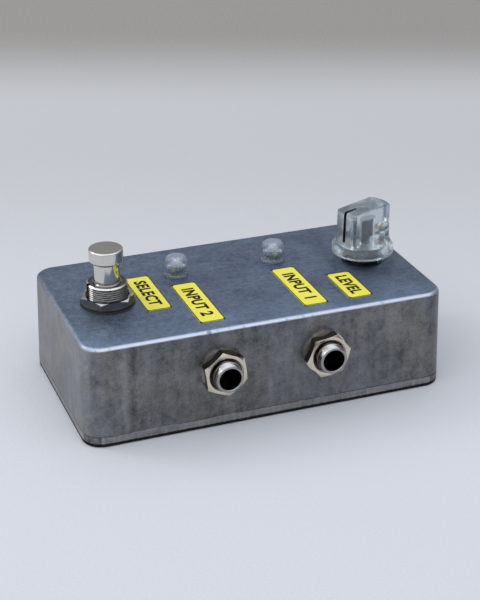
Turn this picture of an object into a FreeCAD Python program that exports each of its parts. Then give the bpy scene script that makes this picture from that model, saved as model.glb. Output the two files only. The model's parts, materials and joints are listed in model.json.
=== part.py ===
import FreeCAD, Part
import os
import re

import Sketcher
from FreeCAD import Placement, Rotation, Vector

# A two-input instrument selector in a small die-cast box: a latching footswitch, a level
# knob, two lamps, two inputs on the front side, an output behind and a power socket at the
# head end. +X runs from the footswitch to the knob, -Y is the input side and +Z is up. The
# origin is at the middle of the face that the box stands on. Lengths are in millimetres and
# angles in degrees.

SIZES = {
    # Box and lid
    "box_length": 112.4,
    "box_width": 60.5,
    "box_height": 31.0,
    "lid_height": 3.4,
    "draft_angle": 1.33,
    "corner_radius": 6.0,
    "top_edge_radius": 1.4,
    "wall": 2.0,
    "top_wall": 2.2,
    "cavity_corner": 4.0,
    "lid_floor": 2.0,
    "lid_edge_radius": 0.7,
    "seam_radius": 0.2,
    "lip_rise": 1.2,
    "lip_thickness": 1.0,
    "lip_clearance": 0.25,
    # Screws that hold the lid
    "post_inset": 5.4,
    "post_radius": 4.2,
    "screw_radius": 1.6,
    "screw_length": 11.0,
    "screw_head_radius": 3.1,
    "screw_head_land": 0.3,
    "screw_sink": 0.15,
    "screw_clearance": 0.2,
    "thread_clearance": 0.05,
    "screw_hole_spare": 1.5,
    "recess_arm": 3.4,
    "recess_width": 0.7,
    "recess_depth": 1.1,
    # Tape labels on the top face
    "tape_thickness": 0.15,
    "tape_width": 7.6,
    "tape_corner": 0.8,
    "switch_label_from_switch": 12.8,
    "switch_label_y": 0.3,
    "switch_label_length": 23.4,
    "input_2_label_offset": -0.5,
    "input_2_label_y": -10.6,
    "input_1_label_y": -10.8,
    "input_label_length": 26.8,
    "level_label_from_pot": 11.7,
    "level_label_y": -15.3,
    "level_label_length": 17.6,
    # Footswitch, measured from the top face
    "switch_from_foot": 15.5,
    "switch_y": -1.4,
    "switch_bush_radius": 6.0,
    "switch_bush_rise": 6.9,
    "switch_hole_clearance": 0.15,
    "bush_bevel": 0.4,
    "keyway_width": 1.6,
    "keyway_depth": 0.8,
    "slide_clearance": 0.08,
    "cap_radius": 5.0,
    "cap_height": 4.45,
    "cap_rise": 12.95,
    "cap_top_round": 0.45,
    "cap_under_bevel": 0.9,
    "stem_radius": 3.85,
    "chamber_radius": 4.9,
    "chamber_top": 1.2,
    "collar_radius": 4.6,
    "collar_thickness": 1.3,
    "collar_gap": 0.1,
    "tail_radius": 3.0,
    "tail_below_plate": 0.5,
    "follower_radius": 1.6,
    "follower_tip_radius": 0.6,
    "follower_length": 1.6,
    "seal_radius": 8.1,
    "seal_thickness": 0.4,
    "switch_washer_radius": 7.8,
    "switch_washer_thickness": 0.5,
    "switch_nut_flats": 14.0,
    "switch_nut_thickness": 2.0,
    "switch_nut_angle": 1.0,
    "ring_clearance": 0.15,
    "lock_washer_radius": 8.4,
    "lock_washer_thickness": 0.7,
    "inner_nut_thickness": 2.2,
    "frame_gap": 0.3,
    "flange_radius": 7.3,
    "flange_thickness": 1.2,
    "frame_width": 17.0,
    "frame_length": 17.3,
    "frame_depth": 15.2,
    "frame_top_thickness": 1.0,
    "frame_side_thickness": 0.9,
    "frame_tab_reach": 2.0,
    "frame_tab_width": 4.0,
    "frame_tab_thickness": 0.8,
    "fit_clearance": 0.05,
    "spring_plate_thickness": 0.8,
    "spring_plate_length": 12.0,
    "spring_mean_radius": 3.9,
    "spring_wire_radius": 0.4,
    "spring_turns": 4.0,
    "base_thickness": 3.5,
    "ear_thickness": 1.4,
    "ear_width": 5.0,
    "ear_above_pivot": 1.5,
    "toggle_angle": 8.0,
    "toggle_half_length": 5.6,
    "toggle_half_width": 6.6,
    "toggle_hub_radius": 1.2,
    "toggle_plate_thickness": 0.8,
    "toggle_drop": 0.5,
    "toggle_pin_radius": 0.8,
    "toggle_pin_overhang": 0.2,
    "ridge_height": 1.2,
    "ridge_width": 1.4,
    "ridge_inset": 1.0,
    "ridge_length": 6.0,
    "strip_thickness": 0.4,
    "strip_width": 2.6,
    "contact_gap": 0.06,
    "lug_pitch_x": 4.9,
    "lug_pitch_y": 5.0,
    "lug_thickness": 0.6,
    "lug_width": 2.2,
    "lug_head": 0.5,
    "lug_tail": 4.0,
    "lug_eye_radius": 0.5,
    "lug_eye_inset": 1.3,
    # Level control, measured from the top face
    "pot_from_head": 14.1,
    "pot_y": 0.6,
    "pot_bush_radius": 3.5,
    "pot_bush_rise": 4.8,
    "pot_hole_clearance": 0.1,
    "pot_radius": 8.25,
    "pot_plate_thickness": 1.0,
    "pot_board_thickness": 1.4,
    "pot_tongue_width": 13.0,
    "pot_tongue_reach": 3.5,
    "pot_cover_depth": 4.6,
    "pot_cover_thickness": 0.5,
    "pot_cover_round": 0.8,
    "pot_lug_pitch": 5.0,
    "pot_lug_width": 2.0,
    "pot_lug_thickness": 0.4,
    "pot_lug_reach": 2.8,
    "pot_lug_eye_radius": 0.35,
    "pot_lug_eye_inset": 1.2,
    "pot_nut_flats": 10.0,
    "pot_nut_thickness": 2.0,
    "pot_washer_radius": 6.35,
    "pot_washer_thickness": 0.5,
    "shaft_radius": 3.0,
    "shaft_clearance": 0.05,
    "shaft_bevel": 0.4,
    "shaft_in_knob": 8.6,
    "wiper_hub_radius": 4.4,
    "wiper_gap": 0.3,
    "wiper_arm_reach": 6.8,
    "wiper_arm_width": 2.0,
    "wiper_arm_thickness": 0.4,
    # Knob
    "knob_gap": 3.1,
    "knob_height": 14.75,
    "knob_rim_radius": 9.6,
    "knob_rim_height": 2.0,
    "knob_rim_round": 0.4,
    "grip_low_radius": 8.75,
    "grip_low_height": 3.4,
    "grip_flare": 3.6,
    "grip_top_radius": 8.45,
    "grip_top_round": 0.8,
    "grip_edge_round": 0.5,
    "grip_half_width": 4.0,
    "skirt_height": 6.1,
    "knob_hollow_radius": 7.2,
    "knob_hollow_depth": 2.6,
    "knob_bore_clearance": 0.02,
    "pointer_angle": 203.0,
    "pointer_width": 0.9,
    "pointer_start": 3.5,
    "pointer_depth": 0.35,
    "pointer_drop": 9.6,
    "set_screw_radius": 1.5,
    "set_screw_length": 3.4,
    "set_screw_height": 6.4,
    "set_screw_clearance": 0.05,
    "set_screw_slot": 0.5,
    # Lamps, measured from the top face
    "lamp_1_from_pot": 26.1,
    "lamp_2_from_switch": 25.1,
    "lamp_y": 10.05,
    "lens_flange_radius": 3.7,
    "lens_flange_height": 0.9,
    "lens_radius": 3.35,
    "lens_rise": 6.2,
    "lens_round": 1.3,
    "lens_barrel_radius": 3.1,
    "lens_barrel_length": 4.6,
    "lens_bore_clearance": 0.1,
    "lens_bore_top": 3.6,
    "lens_hole_clearance": 0.05,
    "lens_ring_radius": 4.3,
    "lens_ring_thickness": 1.2,
    "lens_ring_clearance": 0.02,
    "led_radius": 2.5,
    "led_height": 7.6,
    "led_flange_radius": 2.9,
    "led_flange_thickness": 1.0,
    "lead_radius": 0.25,
    "lead_half_pitch": 1.27,
    "lead_length": 7.5,
    "resistor_radius": 1.15,
    "resistor_length": 6.3,
    "resistor_round": 0.5,
    # Jacks, measured outward from the wall's outer face
    "input_1_from_lamp": 0.3,
    "jack_height": 18.3,
    "jack_bore_radius": 3.3,
    "jack_nose_radius": 4.5,
    "jack_nose_tip_radius": 4.1,
    "jack_nose_reach": 7.0,
    "jack_nose_round": 0.4,
    "jack_mouth_round": 0.3,
    "jack_thread_radius": 4.75,
    "jack_thread_reach": 3.0,
    "jack_thread_bevel": 0.15,
    "jack_hole_clearance": 0.15,
    "jack_plate_thickness": 1.2,
    "jack_plate_width": 15.0,
    "jack_plate_below": 7.0,
    "jack_leg_offset": 8.2,
    "jack_leg_width": 9.0,
    "jack_leg_length": 11.5,
    "jack_washer_radius": 6.5,
    "jack_washer_thickness": 0.8,
    "jack_nut_flats": 12.1,
    "jack_nut_thickness": 3.0,
    "jack_nut_clearance": 0.05,
    "input_1_nut_angle": 9.0,
    "input_2_nut_angle": 37.5,
    "output_nut_angle": 22.0,
    "jack_stack_inset": 5.0,
    "jack_stack_length": 6.4,
    "jack_stack_width": 8.0,
    "jack_insulator_thickness": 1.0,
    "jack_rivet_radius": 1.0,
    "jack_rivet_head": 1.6,
    "jack_rivet_head_height": 0.5,
    "tip_spring_thickness": 0.5,
    "tip_spring_width": 4.0,
    "tip_spring_straight": 15.0,
    "tip_spring_bend": 2.4,
    "tip_spring_gap": 0.35,
    "jack_lug_reach": 5.0,
    "jack_lug_width": 2.2,
    "jack_lug_eye_radius": 0.35,
    # Power socket, measured outward from the head wall's outer face
    "power_height": 12.5,
    "power_flange_radius": 7.0,
    "power_flange_thickness": 1.8,
    "power_flange_round": 0.6,
    "power_barrel_radius": 5.4,
    "power_barrel_length": 13.0,
    "power_hole_clearance": 0.15,
    "power_bore_radius": 3.0,
    "power_bore_depth": 9.8,
    "power_pin_radius": 1.05,
    "power_pin_setback": 1.2,
    "power_pin_tail": 3.5,
    "power_nut_flats": 13.0,
    "power_nut_thickness": 2.4,
    "power_terminal_length": 4.5,
    "power_terminal_width": 2.2,
    "power_terminal_thickness": 0.4,
    "power_terminal_offset": 3.0,
    # Wires, which run in two layers above the lid
    "wire_radius": 0.45,
    "wire_bend": 0.7,
    "wire_low": 3.4,
    "wire_high": 5.0,
    "input_2_tip_lane_in": 1.9,
    "input_1_sleeve_lane_out": 2.2,
    "input_2_sleeve_lane_out": 4.2,
    "lamp_2_feed_lane": 12.2,
    "lamp_1_return_lane": 7.9,
    "lamp_2_return_lane": 5.9,
    "power_wire_inset": 0.6,
    "power_wire_pitch": 1.8,
    # Shape shared by the nuts
    "nut_bevel": 0.9,
    "nut_bevel_fall": 0.45,
}

document = FreeCAD.newDocument("SelectorPedal")
sheet = document.addObject("Spreadsheet::Sheet", "Sizes")
nodes = []


# Tools for binding sizes


def fill_sheet():
    """Write every size into its own cell, and give the cell the size's name."""
    for row, (name, value) in enumerate(SIZES.items(), start=1):
        sheet.set(f"A{row}", name)
        sheet.set(f"B{row}", str(value))
        sheet.setAlias(f"B{row}", name)
    document.recompute()


def with_sheet(formula):
    """Put the sheet's name before each size's name in a formula."""
    def cell(word):
        return "Sizes." + word.group() if word.group() in SIZES else word.group()
    return re.sub(r"[a-z][a-z_0-9]*", cell, formula)


def tie(thing, formulas):
    """Bind properties of an object to formulas of the sizes."""
    for path, formula in formulas.items():
        thing.setExpression(path, with_sheet(formula))


def add(kind, label):
    thing = document.addObject(kind, label)
    thing.Label = label
    return thing


def move(thing, at, axis=(0, 0, 1), angle=None):
    """Put an object's own origin at a place, turned about an axis by an angle."""
    if angle is not None:
        thing.Placement = Placement(Vector(), Rotation(Vector(*axis), 90))
        tie(thing, {"Placement.Rotation.Angle": angle})
    x, y, z = at
    tie(thing, {"Placement.Base.x": x, "Placement.Base.y": y, "Placement.Base.z": z})
    return thing


def node(thing, label):
    """Name an object as one piece of the product."""
    thing.Label = label
    nodes.append(thing)
    return thing


# Tools for simple solids


def box(label, size, low):
    """A box with its lowest corner at a place."""
    made = add("Part::Box", label)
    tie(made, dict(zip(("Length", "Width", "Height"), size)))
    return move(made, low)


def block(label, size, middle):
    """A box centred in x and y, with its lowest face at a height."""
    low = [f"({middle[0]}) - ({size[0]}) / 2", f"({middle[1]}) - ({size[1]}) / 2", middle[2]]
    return box(label, size, low)


def rod(label, radius, length, at, axis=(0, 0, 1), angle=None):
    """A round bar that starts at a place."""
    made = add("Part::Cylinder", label)
    tie(made, {"Radius": radius, "Height": length})
    return move(made, at, axis, angle)


def join(label, *pieces):
    made = add("Part::MultiFuse", label)
    made.Shapes = list(pieces)
    made.Refine = True
    return made


def cut(label, base, *tools):
    made = add("Part::Cut", label)
    made.Base = base
    made.Tool = tools[0] if len(tools) == 1 else join(label + "_cutter", *tools)
    return made


def common(label, first, second):
    made = add("Part::Common", label)
    made.Base = first
    made.Tool = second
    return made


def group(label, pieces):
    made = add("Part::Compound", label)
    made.Links = list(pieces)
    return made


# Tools for sketched bodies


def new_body(label):
    return add("PartDesign::Body", label)


def new_sketch(body, role, name, height=None):
    """A sketch on one of the body's own origin planes, or raised above it."""
    plane = next(thing for thing in body.Origin.OriginFeatures if thing.Role == role)
    sketch = body.newObject("Sketcher::SketchObject", name)
    sketch.AttachmentSupport = [(plane, "")]
    sketch.MapMode = "FlatFace"
    if height is not None:
        tie(sketch, {"AttachmentOffset.Base.z": height})
    return sketch


def fix_point(sketch, line, end, x, y):
    """Hold a point of a sketch at coordinates given by formulas."""
    for kind, axis, formula in (("DistanceX", -2, x), ("DistanceY", -1, y)):
        if formula == "0":
            sketch.addConstraint(Sketcher.Constraint("PointOnObject", line, end, axis))
        else:
            number = sketch.addConstraint(Sketcher.Constraint(kind, -1, 1, line, end, 1.0))
            tie(sketch, {f"Constraints[{number}]": formula})


def draw_outline(sketch, corners):
    """A closed outline of straight lines through corners given by formulas."""
    first = sketch.GeometryCount
    count = len(corners)
    for number in range(count):
        start = Vector(number + 1, number * number + 1, 0)
        end = Vector(number + 2, (number + 1) * (number + 1) + 1, 0)
        sketch.addGeometry(Part.LineSegment(start, end), False)
    for number in range(count):
        following = first + (number + 1) % count
        sketch.addConstraint(Sketcher.Constraint("Coincident", first + number, 2, following, 1))
    for number, corner in enumerate(corners):
        fix_point(sketch, first + number, 1, corner[0], corner[1])


def draw_rectangle(sketch, length, width, x="0", y="0"):
    """A rectangle centred on a place."""
    left, right = f"({x}) - ({length}) / 2", f"({x}) + ({length}) / 2"
    near, far = f"({y}) - ({width}) / 2", f"({y}) + ({width}) / 2"
    draw_outline(sketch, [(left, near), (right, near), (right, far), (left, far)])


def draw_circle(sketch, radius, x, y):
    number = sketch.addGeometry(Part.Circle(Vector(1, 1, 0), Vector(0, 0, 1), 1), False)
    fix_point(sketch, number, 3, x, y)
    size = sketch.addConstraint(Sketcher.Constraint("Radius", number, 1.0))
    tie(sketch, {f"Constraints[{size}]": radius})


def extrude(body, kind, sketch, length, taper="0", backwards=False, middle=False):
    """A pad or a pocket of a sketch."""
    feature = body.newObject("PartDesign::" + kind, kind)
    feature.Profile = sketch
    feature.Reversed = backwards
    feature.Midplane = middle
    tie(feature, {"Length": length, "TaperAngle": taper})
    return feature


def edges_where(body, test):
    edges = body.Tip.Shape.Edges
    return [f"Edge{number}" for number, edge in enumerate(edges, start=1) if test(edge)]


def dress(body, kind, edges, size):
    """Round or bevel some edges of a body."""
    feature = body.newObject("PartDesign::" + kind, kind)
    feature.Base = (feature.BaseFeature or body.Tip, edges)
    tie(feature, {"Radius" if kind == "Fillet" else "Size": size})
    document.recompute()


def is_upright(edge):
    box_of_edge = edge.BoundBox
    return box_of_edge.ZLength > 2 * max(box_of_edge.XLength, box_of_edge.YLength)


def is_level(edge, height):
    return all(abs(corner.Z - height) < 0.001 for corner in edge.Vertexes)


def is_rim(edge, radius, height):
    """True for a full circle about the z axis with this radius and height."""
    curve = edge.Curve
    if curve.TypeId != "Part::GeomCircle":
        return False
    centre_is_right = curve.Center.isEqual(Vector(0, 0, height), 0.001)
    return centre_is_right and abs(curve.Radius - radius) < 0.001


def turned(label, corners):
    """A piece turned on a lathe: half its outline as (radius, height) pairs.

    A corner may add "Fillet" or "Chamfer" and a size."""
    body = new_body(label)
    sketch = new_sketch(body, "XZ_Plane", label + "_outline")
    draw_outline(sketch, corners)
    turn = body.newObject("PartDesign::Revolution", "Turn")
    turn.Profile = sketch
    turn.ReferenceAxis = (sketch, ["V_Axis"])
    turn.Angle = 360
    document.recompute()
    places = [sketch.Geometry[number].StartPoint for number in range(len(corners))]
    for corner, place in zip(corners, places):
        if len(corner) > 2:
            rim = edges_where(body, lambda edge: is_rim(edge, place.x, place.y))
            dress(body, corner[2], rim, corner[3])
    return body


def ring(label, inner, outer, low, high):
    """A flat ring between two heights."""
    return turned(label, [(inner, low), (outer, low), (outer, high), (inner, high)])


def hex_nut(label, flats, thickness, hole, low="0"):
    """A hexagon nut whose outer corners are turned down."""
    prism = add("Part::Prism", label + "_hexagon")
    prism.Polygon = 6
    tie(prism, {"Circumradius": f"({flats}) / 2 / cos(30deg)", "Height": thickness})
    move(prism, ("0", "0", low))
    corner = f"({flats}) / 2 / cos(30deg)"
    top = f"({low}) + ({thickness})"
    blank = turned(label + "_blank", [
        (hole, low),
        (corner, low),
        (corner, f"({top}) - nut_bevel_fall"),
        (f"({corner}) - nut_bevel", top),
        (f"({hole}) + nut_bevel_fall", top),
        (hole, f"({top}) - nut_bevel_fall"),
    ])
    return common(label, prism, blank)


def rounded_plate(label, length, width, thickness, corner):
    """A rounded rectangle of sheet, centred on its own origin."""
    body = new_body(label)
    sketch = new_sketch(body, "XY_Plane", label + "_outline")
    draw_rectangle(sketch, length, width)
    extrude(body, "Pad", sketch, thickness)
    document.recompute()
    dress(body, "Fillet", edges_where(body, is_upright), corner)
    return body


# Places that several pieces share

TOP = "box_height"
SWITCH_X = "(switch_from_foot - box_length / 2)"
POT_X = "(box_length / 2 - pot_from_head)"
LAMP_1_X = f"({POT_X} - lamp_1_from_pot)"
LAMP_2_X = f"({SWITCH_X} + lamp_2_from_switch)"
SIDE_LEAN = "(jack_height - lid_height) * tan(draft_angle * 1deg)"
FRONT_WALL = f"(box_width / 2 - {SIDE_LEAN})"
HEAD_WALL = "(box_length / 2 - (power_height - lid_height) * tan(draft_angle * 1deg))"
WALL_DEPTH = "(wall * cos(draft_angle * 1deg))"
POST_X = "(box_length / 2 - post_inset)"
POST_Y = "(box_width / 2 - post_inset)"
POSTS = [(x, y) for x in (POST_X, "-" + POST_X) for y in (POST_Y, "-" + POST_Y)]

# Each jack: its name, its place on the wall, and the axis and angle that stand it up
INPUT_1_X = f"{LAMP_1_X} + input_1_from_lamp"
JACKS = (
    ("input_1", (INPUT_1_X, "-" + FRONT_WALL, "jack_height"), (1, 0, 0), "90 - draft_angle"),
    ("input_2", (LAMP_2_X, "-" + FRONT_WALL, "jack_height"), (1, 0, 0), "90 - draft_angle"),
    ("output", ("0", FRONT_WALL, "jack_height"), (1, 0, 0), "draft_angle - 90"),
)
POWER_PLACE = (HEAD_WALL, "0", "power_height")
LAMPS = (("1", LAMP_1_X), ("2", LAMP_2_X))


# Box


def enclosure_body():
    """The cast box: drafted walls, a hollow from below, four posts and all its holes."""
    body = new_body("enclosure_casting")
    body_height = "box_height - lid_height"

    outside = new_sketch(body, "XY_Plane", "box_outside")
    draw_rectangle(outside, "box_length", "box_width")
    extrude(body, "Pad", outside, body_height, taper="-draft_angle")
    document.recompute()
    dress(body, "Fillet", edges_where(body, is_upright), "corner_radius")
    top = max(corner.Z for corner in body.Tip.Shape.Vertexes)
    dress(body, "Fillet", edges_where(body, lambda edge: is_level(edge, top)), "top_edge_radius")
    dress(body, "Fillet", edges_where(body, lambda edge: is_level(edge, 0)), "seam_radius")

    hollow = new_sketch(body, "XY_Plane", "box_hollow")
    draw_rectangle(hollow, "box_length - 2 * wall", "box_width - 2 * wall")
    depth = f"{body_height} - top_wall"
    extrude(body, "Pocket", hollow, depth, taper="-draft_angle", backwards=True)
    document.recompute()
    half_wide = body.Tip.Shape.BoundBox.YMax - 1
    inner = edges_where(body, lambda edge: is_upright(edge) and abs(edge.BoundBox.YMax) < half_wide)
    dress(body, "Fillet", inner, "cavity_corner")

    posts = new_sketch(body, "XY_Plane", "screw_posts")
    for x, y in POSTS:
        draw_circle(posts, "post_radius", x, y)
    extrude(body, "Pad", posts, f"{body_height} - top_wall / 2")

    taps = new_sketch(body, "XY_Plane", "tapped_holes")
    for x, y in POSTS:
        draw_circle(taps, "screw_radius + thread_clearance", x, y)
    tap_depth = "screw_sink + screw_length + screw_hole_spare - lid_height"
    extrude(body, "Pocket", taps, tap_depth, backwards=True)

    through = new_sketch(body, "XY_Plane", "top_holes")
    draw_circle(through, "switch_bush_radius + switch_hole_clearance", SWITCH_X, "switch_y")
    draw_circle(through, "pot_bush_radius + pot_hole_clearance", POT_X, "pot_y")
    for number, x in LAMPS:
        draw_circle(through, "lens_barrel_radius + lens_hole_clearance", x, "lamp_y")
    extrude(body, "Pocket", through, body_height, backwards=True)
    move(body, ("0", "0", "lid_height"))

    drills = []
    reach = "4 * wall"
    for name, place, axis, angle in JACKS:
        drill = rod(name + "_drill", "jack_thread_radius + jack_hole_clearance", reach,
                    ("0", "0", f"-({reach}) / 2"))
        drills.append(move(group(name + "_drill_set", [drill]), place, axis, angle))
    power = rod("power_drill", "power_barrel_radius + power_hole_clearance", reach,
                ("0", "0", f"-({reach}) / 2"))
    drills.append(move(group("power_drill_set", [power]), POWER_PLACE, (0, 1, 0), "90 - draft_angle"))
    node(cut("enclosure_body", body, *drills), "enclosure_body")


def bottom_lid():
    """The lid: a shallow tray with corner pads, a locating lip and countersunk holes."""
    body = new_body("bottom_lid")
    outside = new_sketch(body, "XY_Plane", "lid_outside")
    draw_rectangle(outside, "box_length", "box_width")
    extrude(body, "Pad", outside, "lid_height")
    document.recompute()
    dress(body, "Fillet", edges_where(body, is_upright), "corner_radius")
    dress(body, "Fillet", edges_where(body, lambda edge: is_level(edge, 0)), "lid_edge_radius")
    top = max(corner.Z for corner in body.Tip.Shape.Vertexes)
    dress(body, "Fillet", edges_where(body, lambda edge: is_level(edge, top)), "seam_radius")

    tray = new_sketch(body, "XY_Plane", "lid_tray", height="lid_height")
    draw_rectangle(tray, "box_length - 2 * wall", "box_width - 2 * wall")
    extrude(body, "Pocket", tray, "lid_height - lid_floor")

    pads = new_sketch(body, "XY_Plane", "corner_pads")
    for x, y in POSTS:
        draw_circle(pads, "post_radius", x, y)
    extrude(body, "Pad", pads, "lid_height")

    lip = new_sketch(body, "XY_Plane", "locating_lip", height="lid_floor / 2")
    to_post = "2 * (post_inset + post_radius + lip_clearance)"
    along_x = "box_length / 2 - wall - lip_clearance - lip_thickness / 2"
    along_y = "box_width / 2 - wall - lip_clearance - lip_thickness / 2"
    for side in ("", "-"):
        draw_rectangle(lip, "lip_thickness", f"box_width - {to_post}", f"{side}({along_x})", "0")
        draw_rectangle(lip, f"box_length - {to_post}", "lip_thickness", "0", f"{side}({along_y})")
    extrude(body, "Pad", lip, "lid_height + lip_rise - lid_floor / 2")

    holes = new_sketch(body, "XY_Plane", "lid_holes")
    for x, y in POSTS:
        draw_circle(holes, "screw_radius + screw_clearance", x, y)
    extrude(body, "Pocket", holes, "lid_height", backwards=True)
    document.recompute()
    mouths = edges_where(body, lambda edge: is_level(edge, 0) and len(edge.Vertexes) == 1)
    cone_reach = "screw_head_radius + screw_head_land + screw_sink - screw_radius - screw_clearance"
    dress(body, "Chamfer", mouths, cone_reach)
    node(body, "bottom_lid")


def lid_screws():
    """Four countersunk screws with cross recesses, driven from below."""
    screws = []
    for number, (x, y) in enumerate(POSTS, start=1):
        name = f"lid_screw_{number}"
        cone_top = "screw_head_land + screw_head_radius - screw_radius"
        solid = turned(name + "_blank", [
            ("0", "0"),
            ("screw_head_radius", "0"),
            ("screw_head_radius", "screw_head_land"),
            ("screw_radius", cone_top),
            ("screw_radius", "screw_length"),
            ("0", "screw_length"),
        ])
        sizes = ("recess_arm", "recess_width", "recess_depth")
        arm = block(name + "_arm", sizes, ("0", "0", "0"))
        cross = block(name + "_cross", (sizes[1], sizes[0], sizes[2]), ("0", "0", "0"))
        screws.append(move(cut(name, solid, arm, cross), (x, y, "screw_sink")))
    node(group("lid_screws", screws), "lid_screws")


def tape_labels():
    """Four strips of tape on the top face."""
    by_switch = f"{SWITCH_X} + switch_label_from_switch"
    for name, x, y, length in (
        ("label_footswitch", by_switch, "switch_label_y", "switch_label_length"),
        ("label_input_2", f"{LAMP_2_X} + input_2_label_offset", "input_2_label_y", "input_label_length"),
        ("label_input_1", LAMP_1_X, "input_1_label_y", "input_label_length"),
        ("label_level", f"{POT_X} - level_label_from_pot", "level_label_y", "level_label_length"),
    ):
        strip = rounded_plate(name, "tape_width", length, "tape_thickness", "tape_corner")
        node(move(strip, (x, y, TOP)), name)


# Footswitch, with heights measured from the top face

SWITCH_PLACE = (SWITCH_X, "switch_y", TOP)
SWITCH_RING = "switch_bush_radius + ring_clearance"
WASHER_LOW = "seal_thickness"
WASHER_HIGH = f"{WASHER_LOW} + switch_washer_thickness"
LOCK_LOW = "-(top_wall + lock_washer_thickness)"
INNER_NUT_LOW = f"({LOCK_LOW} - inner_nut_thickness)"
FRAME_TOP = f"({INNER_NUT_LOW} - frame_gap)"
FRAME_UNDER = f"({FRAME_TOP} - frame_top_thickness)"
FLANGE_UNDER = f"({FRAME_UNDER} - flange_thickness)"
SPRING_PLATE_UNDER = f"({FLANGE_UNDER} - spring_plate_thickness)"
BUSH_BORE = "stem_radius + slide_clearance"
COLLAR_TOP = "(chamber_top - collar_gap)"
COLLAR_UNDER = f"({COLLAR_TOP} - collar_thickness)"
BASE_UNDER = f"({FRAME_TOP} - frame_depth)"
BASE_TOP = f"({BASE_UNDER} + base_thickness)"
BASE_WIDTH = "(frame_width - 2 * frame_side_thickness - 2 * fit_clearance)"
STRIP_UNDER = "(toggle_drop + strip_thickness)"
TOGGLE_PIVOT = (f"({BASE_TOP} + lug_head + contact_gap + toggle_half_length * sin(toggle_angle * 1deg)"
                f" + {STRIP_UNDER} * cos(toggle_angle * 1deg))")


def footswitch_bush():
    """The threaded bush, its flange inside the frame and the keyway down one side."""
    solid = turned("bush_blank", [
        (BUSH_BORE, "switch_bush_rise", "Chamfer", "bush_bevel"),
        ("switch_bush_radius", "switch_bush_rise", "Chamfer", "bush_bevel"),
        ("switch_bush_radius", FRAME_UNDER),
        ("flange_radius", FRAME_UNDER),
        ("flange_radius", FLANGE_UNDER),
        ("chamber_radius", FLANGE_UNDER),
        ("chamber_radius", "chamber_top"),
        (BUSH_BORE, "chamber_top"),
    ])
    height = f"switch_bush_rise - {FRAME_UNDER}"
    keyway = box("keyway", ("keyway_depth", "keyway_width", height),
                 ("-switch_bush_radius", "-keyway_width / 2", FRAME_UNDER))
    node(move(cut("footswitch_bush", solid, keyway), SWITCH_PLACE), "footswitch_bush")


def footswitch_rings():
    """What clamps the bush to the top wall, above it and below it."""
    seal = ring("footswitch_seal_ring", SWITCH_RING, "seal_radius", "0", WASHER_LOW)
    node(move(seal, SWITCH_PLACE), "footswitch_seal_ring")
    washer = ring("footswitch_washer", SWITCH_RING, "switch_washer_radius", WASHER_LOW, WASHER_HIGH)
    node(move(washer, SWITCH_PLACE), "footswitch_washer")
    lock = ring("footswitch_lock_washer", SWITCH_RING, "lock_washer_radius", LOCK_LOW, "-top_wall")
    node(move(lock, SWITCH_PLACE), "footswitch_lock_washer")
    hole = "switch_bush_radius + thread_clearance"
    nut = hex_nut("footswitch_nut", "switch_nut_flats", "switch_nut_thickness", hole, WASHER_HIGH)
    node(move(nut, SWITCH_PLACE, angle="switch_nut_angle"), "footswitch_nut")
    inner = hex_nut("footswitch_inner_nut", "switch_nut_flats", "inner_nut_thickness", hole,
                    INNER_NUT_LOW)
    node(move(inner, SWITCH_PLACE), "footswitch_inner_nut")


def footswitch_plunger():
    """Cap, stem, stop collar and tail, turned as one piece, with a nylon follower below."""
    cap_top = "cap_rise + cap_height"
    tail_end = f"{SPRING_PLATE_UNDER} - tail_below_plate"
    solid = turned("footswitch_plunger", [
        ("0", cap_top),
        ("cap_radius", cap_top, "Fillet", "cap_top_round"),
        ("cap_radius", "cap_rise", "Chamfer", "cap_under_bevel"),
        ("stem_radius", "cap_rise"),
        ("stem_radius", COLLAR_TOP),
        ("collar_radius", COLLAR_TOP),
        ("collar_radius", COLLAR_UNDER),
        ("tail_radius", COLLAR_UNDER),
        ("tail_radius", tail_end),
        ("0", tail_end),
    ])
    node(move(solid, SWITCH_PLACE), "footswitch_plunger")
    tip = f"{tail_end} - follower_length"
    follower = turned("footswitch_follower", [
        ("0", tail_end),
        ("follower_radius", tail_end),
        ("follower_tip_radius", tip),
        ("0", tip),
    ])
    node(move(follower, SWITCH_PLACE), "footswitch_follower")


def footswitch_spring():
    """The return spring between its plate and the plunger's collar, and that plate."""
    inside = "frame_width - 2 * frame_side_thickness - 2 * fit_clearance"
    sheet_metal = block("spring_plate_blank", (inside, "spring_plate_length", "spring_plate_thickness"),
                        ("0", "0", SPRING_PLATE_UNDER))
    hole = rod("spring_plate_hole", "tail_radius + slide_clearance", "3 * spring_plate_thickness",
               ("0", "0", f"{SPRING_PLATE_UNDER} - spring_plate_thickness"))
    node(move(cut("footswitch_spring_plate", sheet_metal, hole), SWITCH_PLACE), "footswitch_spring_plate")

    room = f"({COLLAR_UNDER} - {FLANGE_UNDER} - 2 * spring_wire_radius)"
    path = add("Part::Helix", "spring_path")
    tie(path, {"Radius": "spring_mean_radius", "Height": room, "Pitch": f"{room} / spring_turns"})
    section = add("Part::Circle", "spring_wire")
    section.Placement = Placement(Vector(), Rotation(Vector(1, 0, 0), 90))
    tie(section, {"Radius": "spring_wire_radius", "Placement.Base.x": "spring_mean_radius"})
    spring = add("Part::Sweep", "footswitch_return_spring")
    spring.Sections = [section]
    spring.Spine = path
    spring.Solid = True
    spring.Frenet = True
    lowest = f"{TOP} + {FLANGE_UNDER} + spring_wire_radius"
    node(move(spring, (SWITCH_X, "switch_y", lowest)), "footswitch_return_spring")


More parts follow.
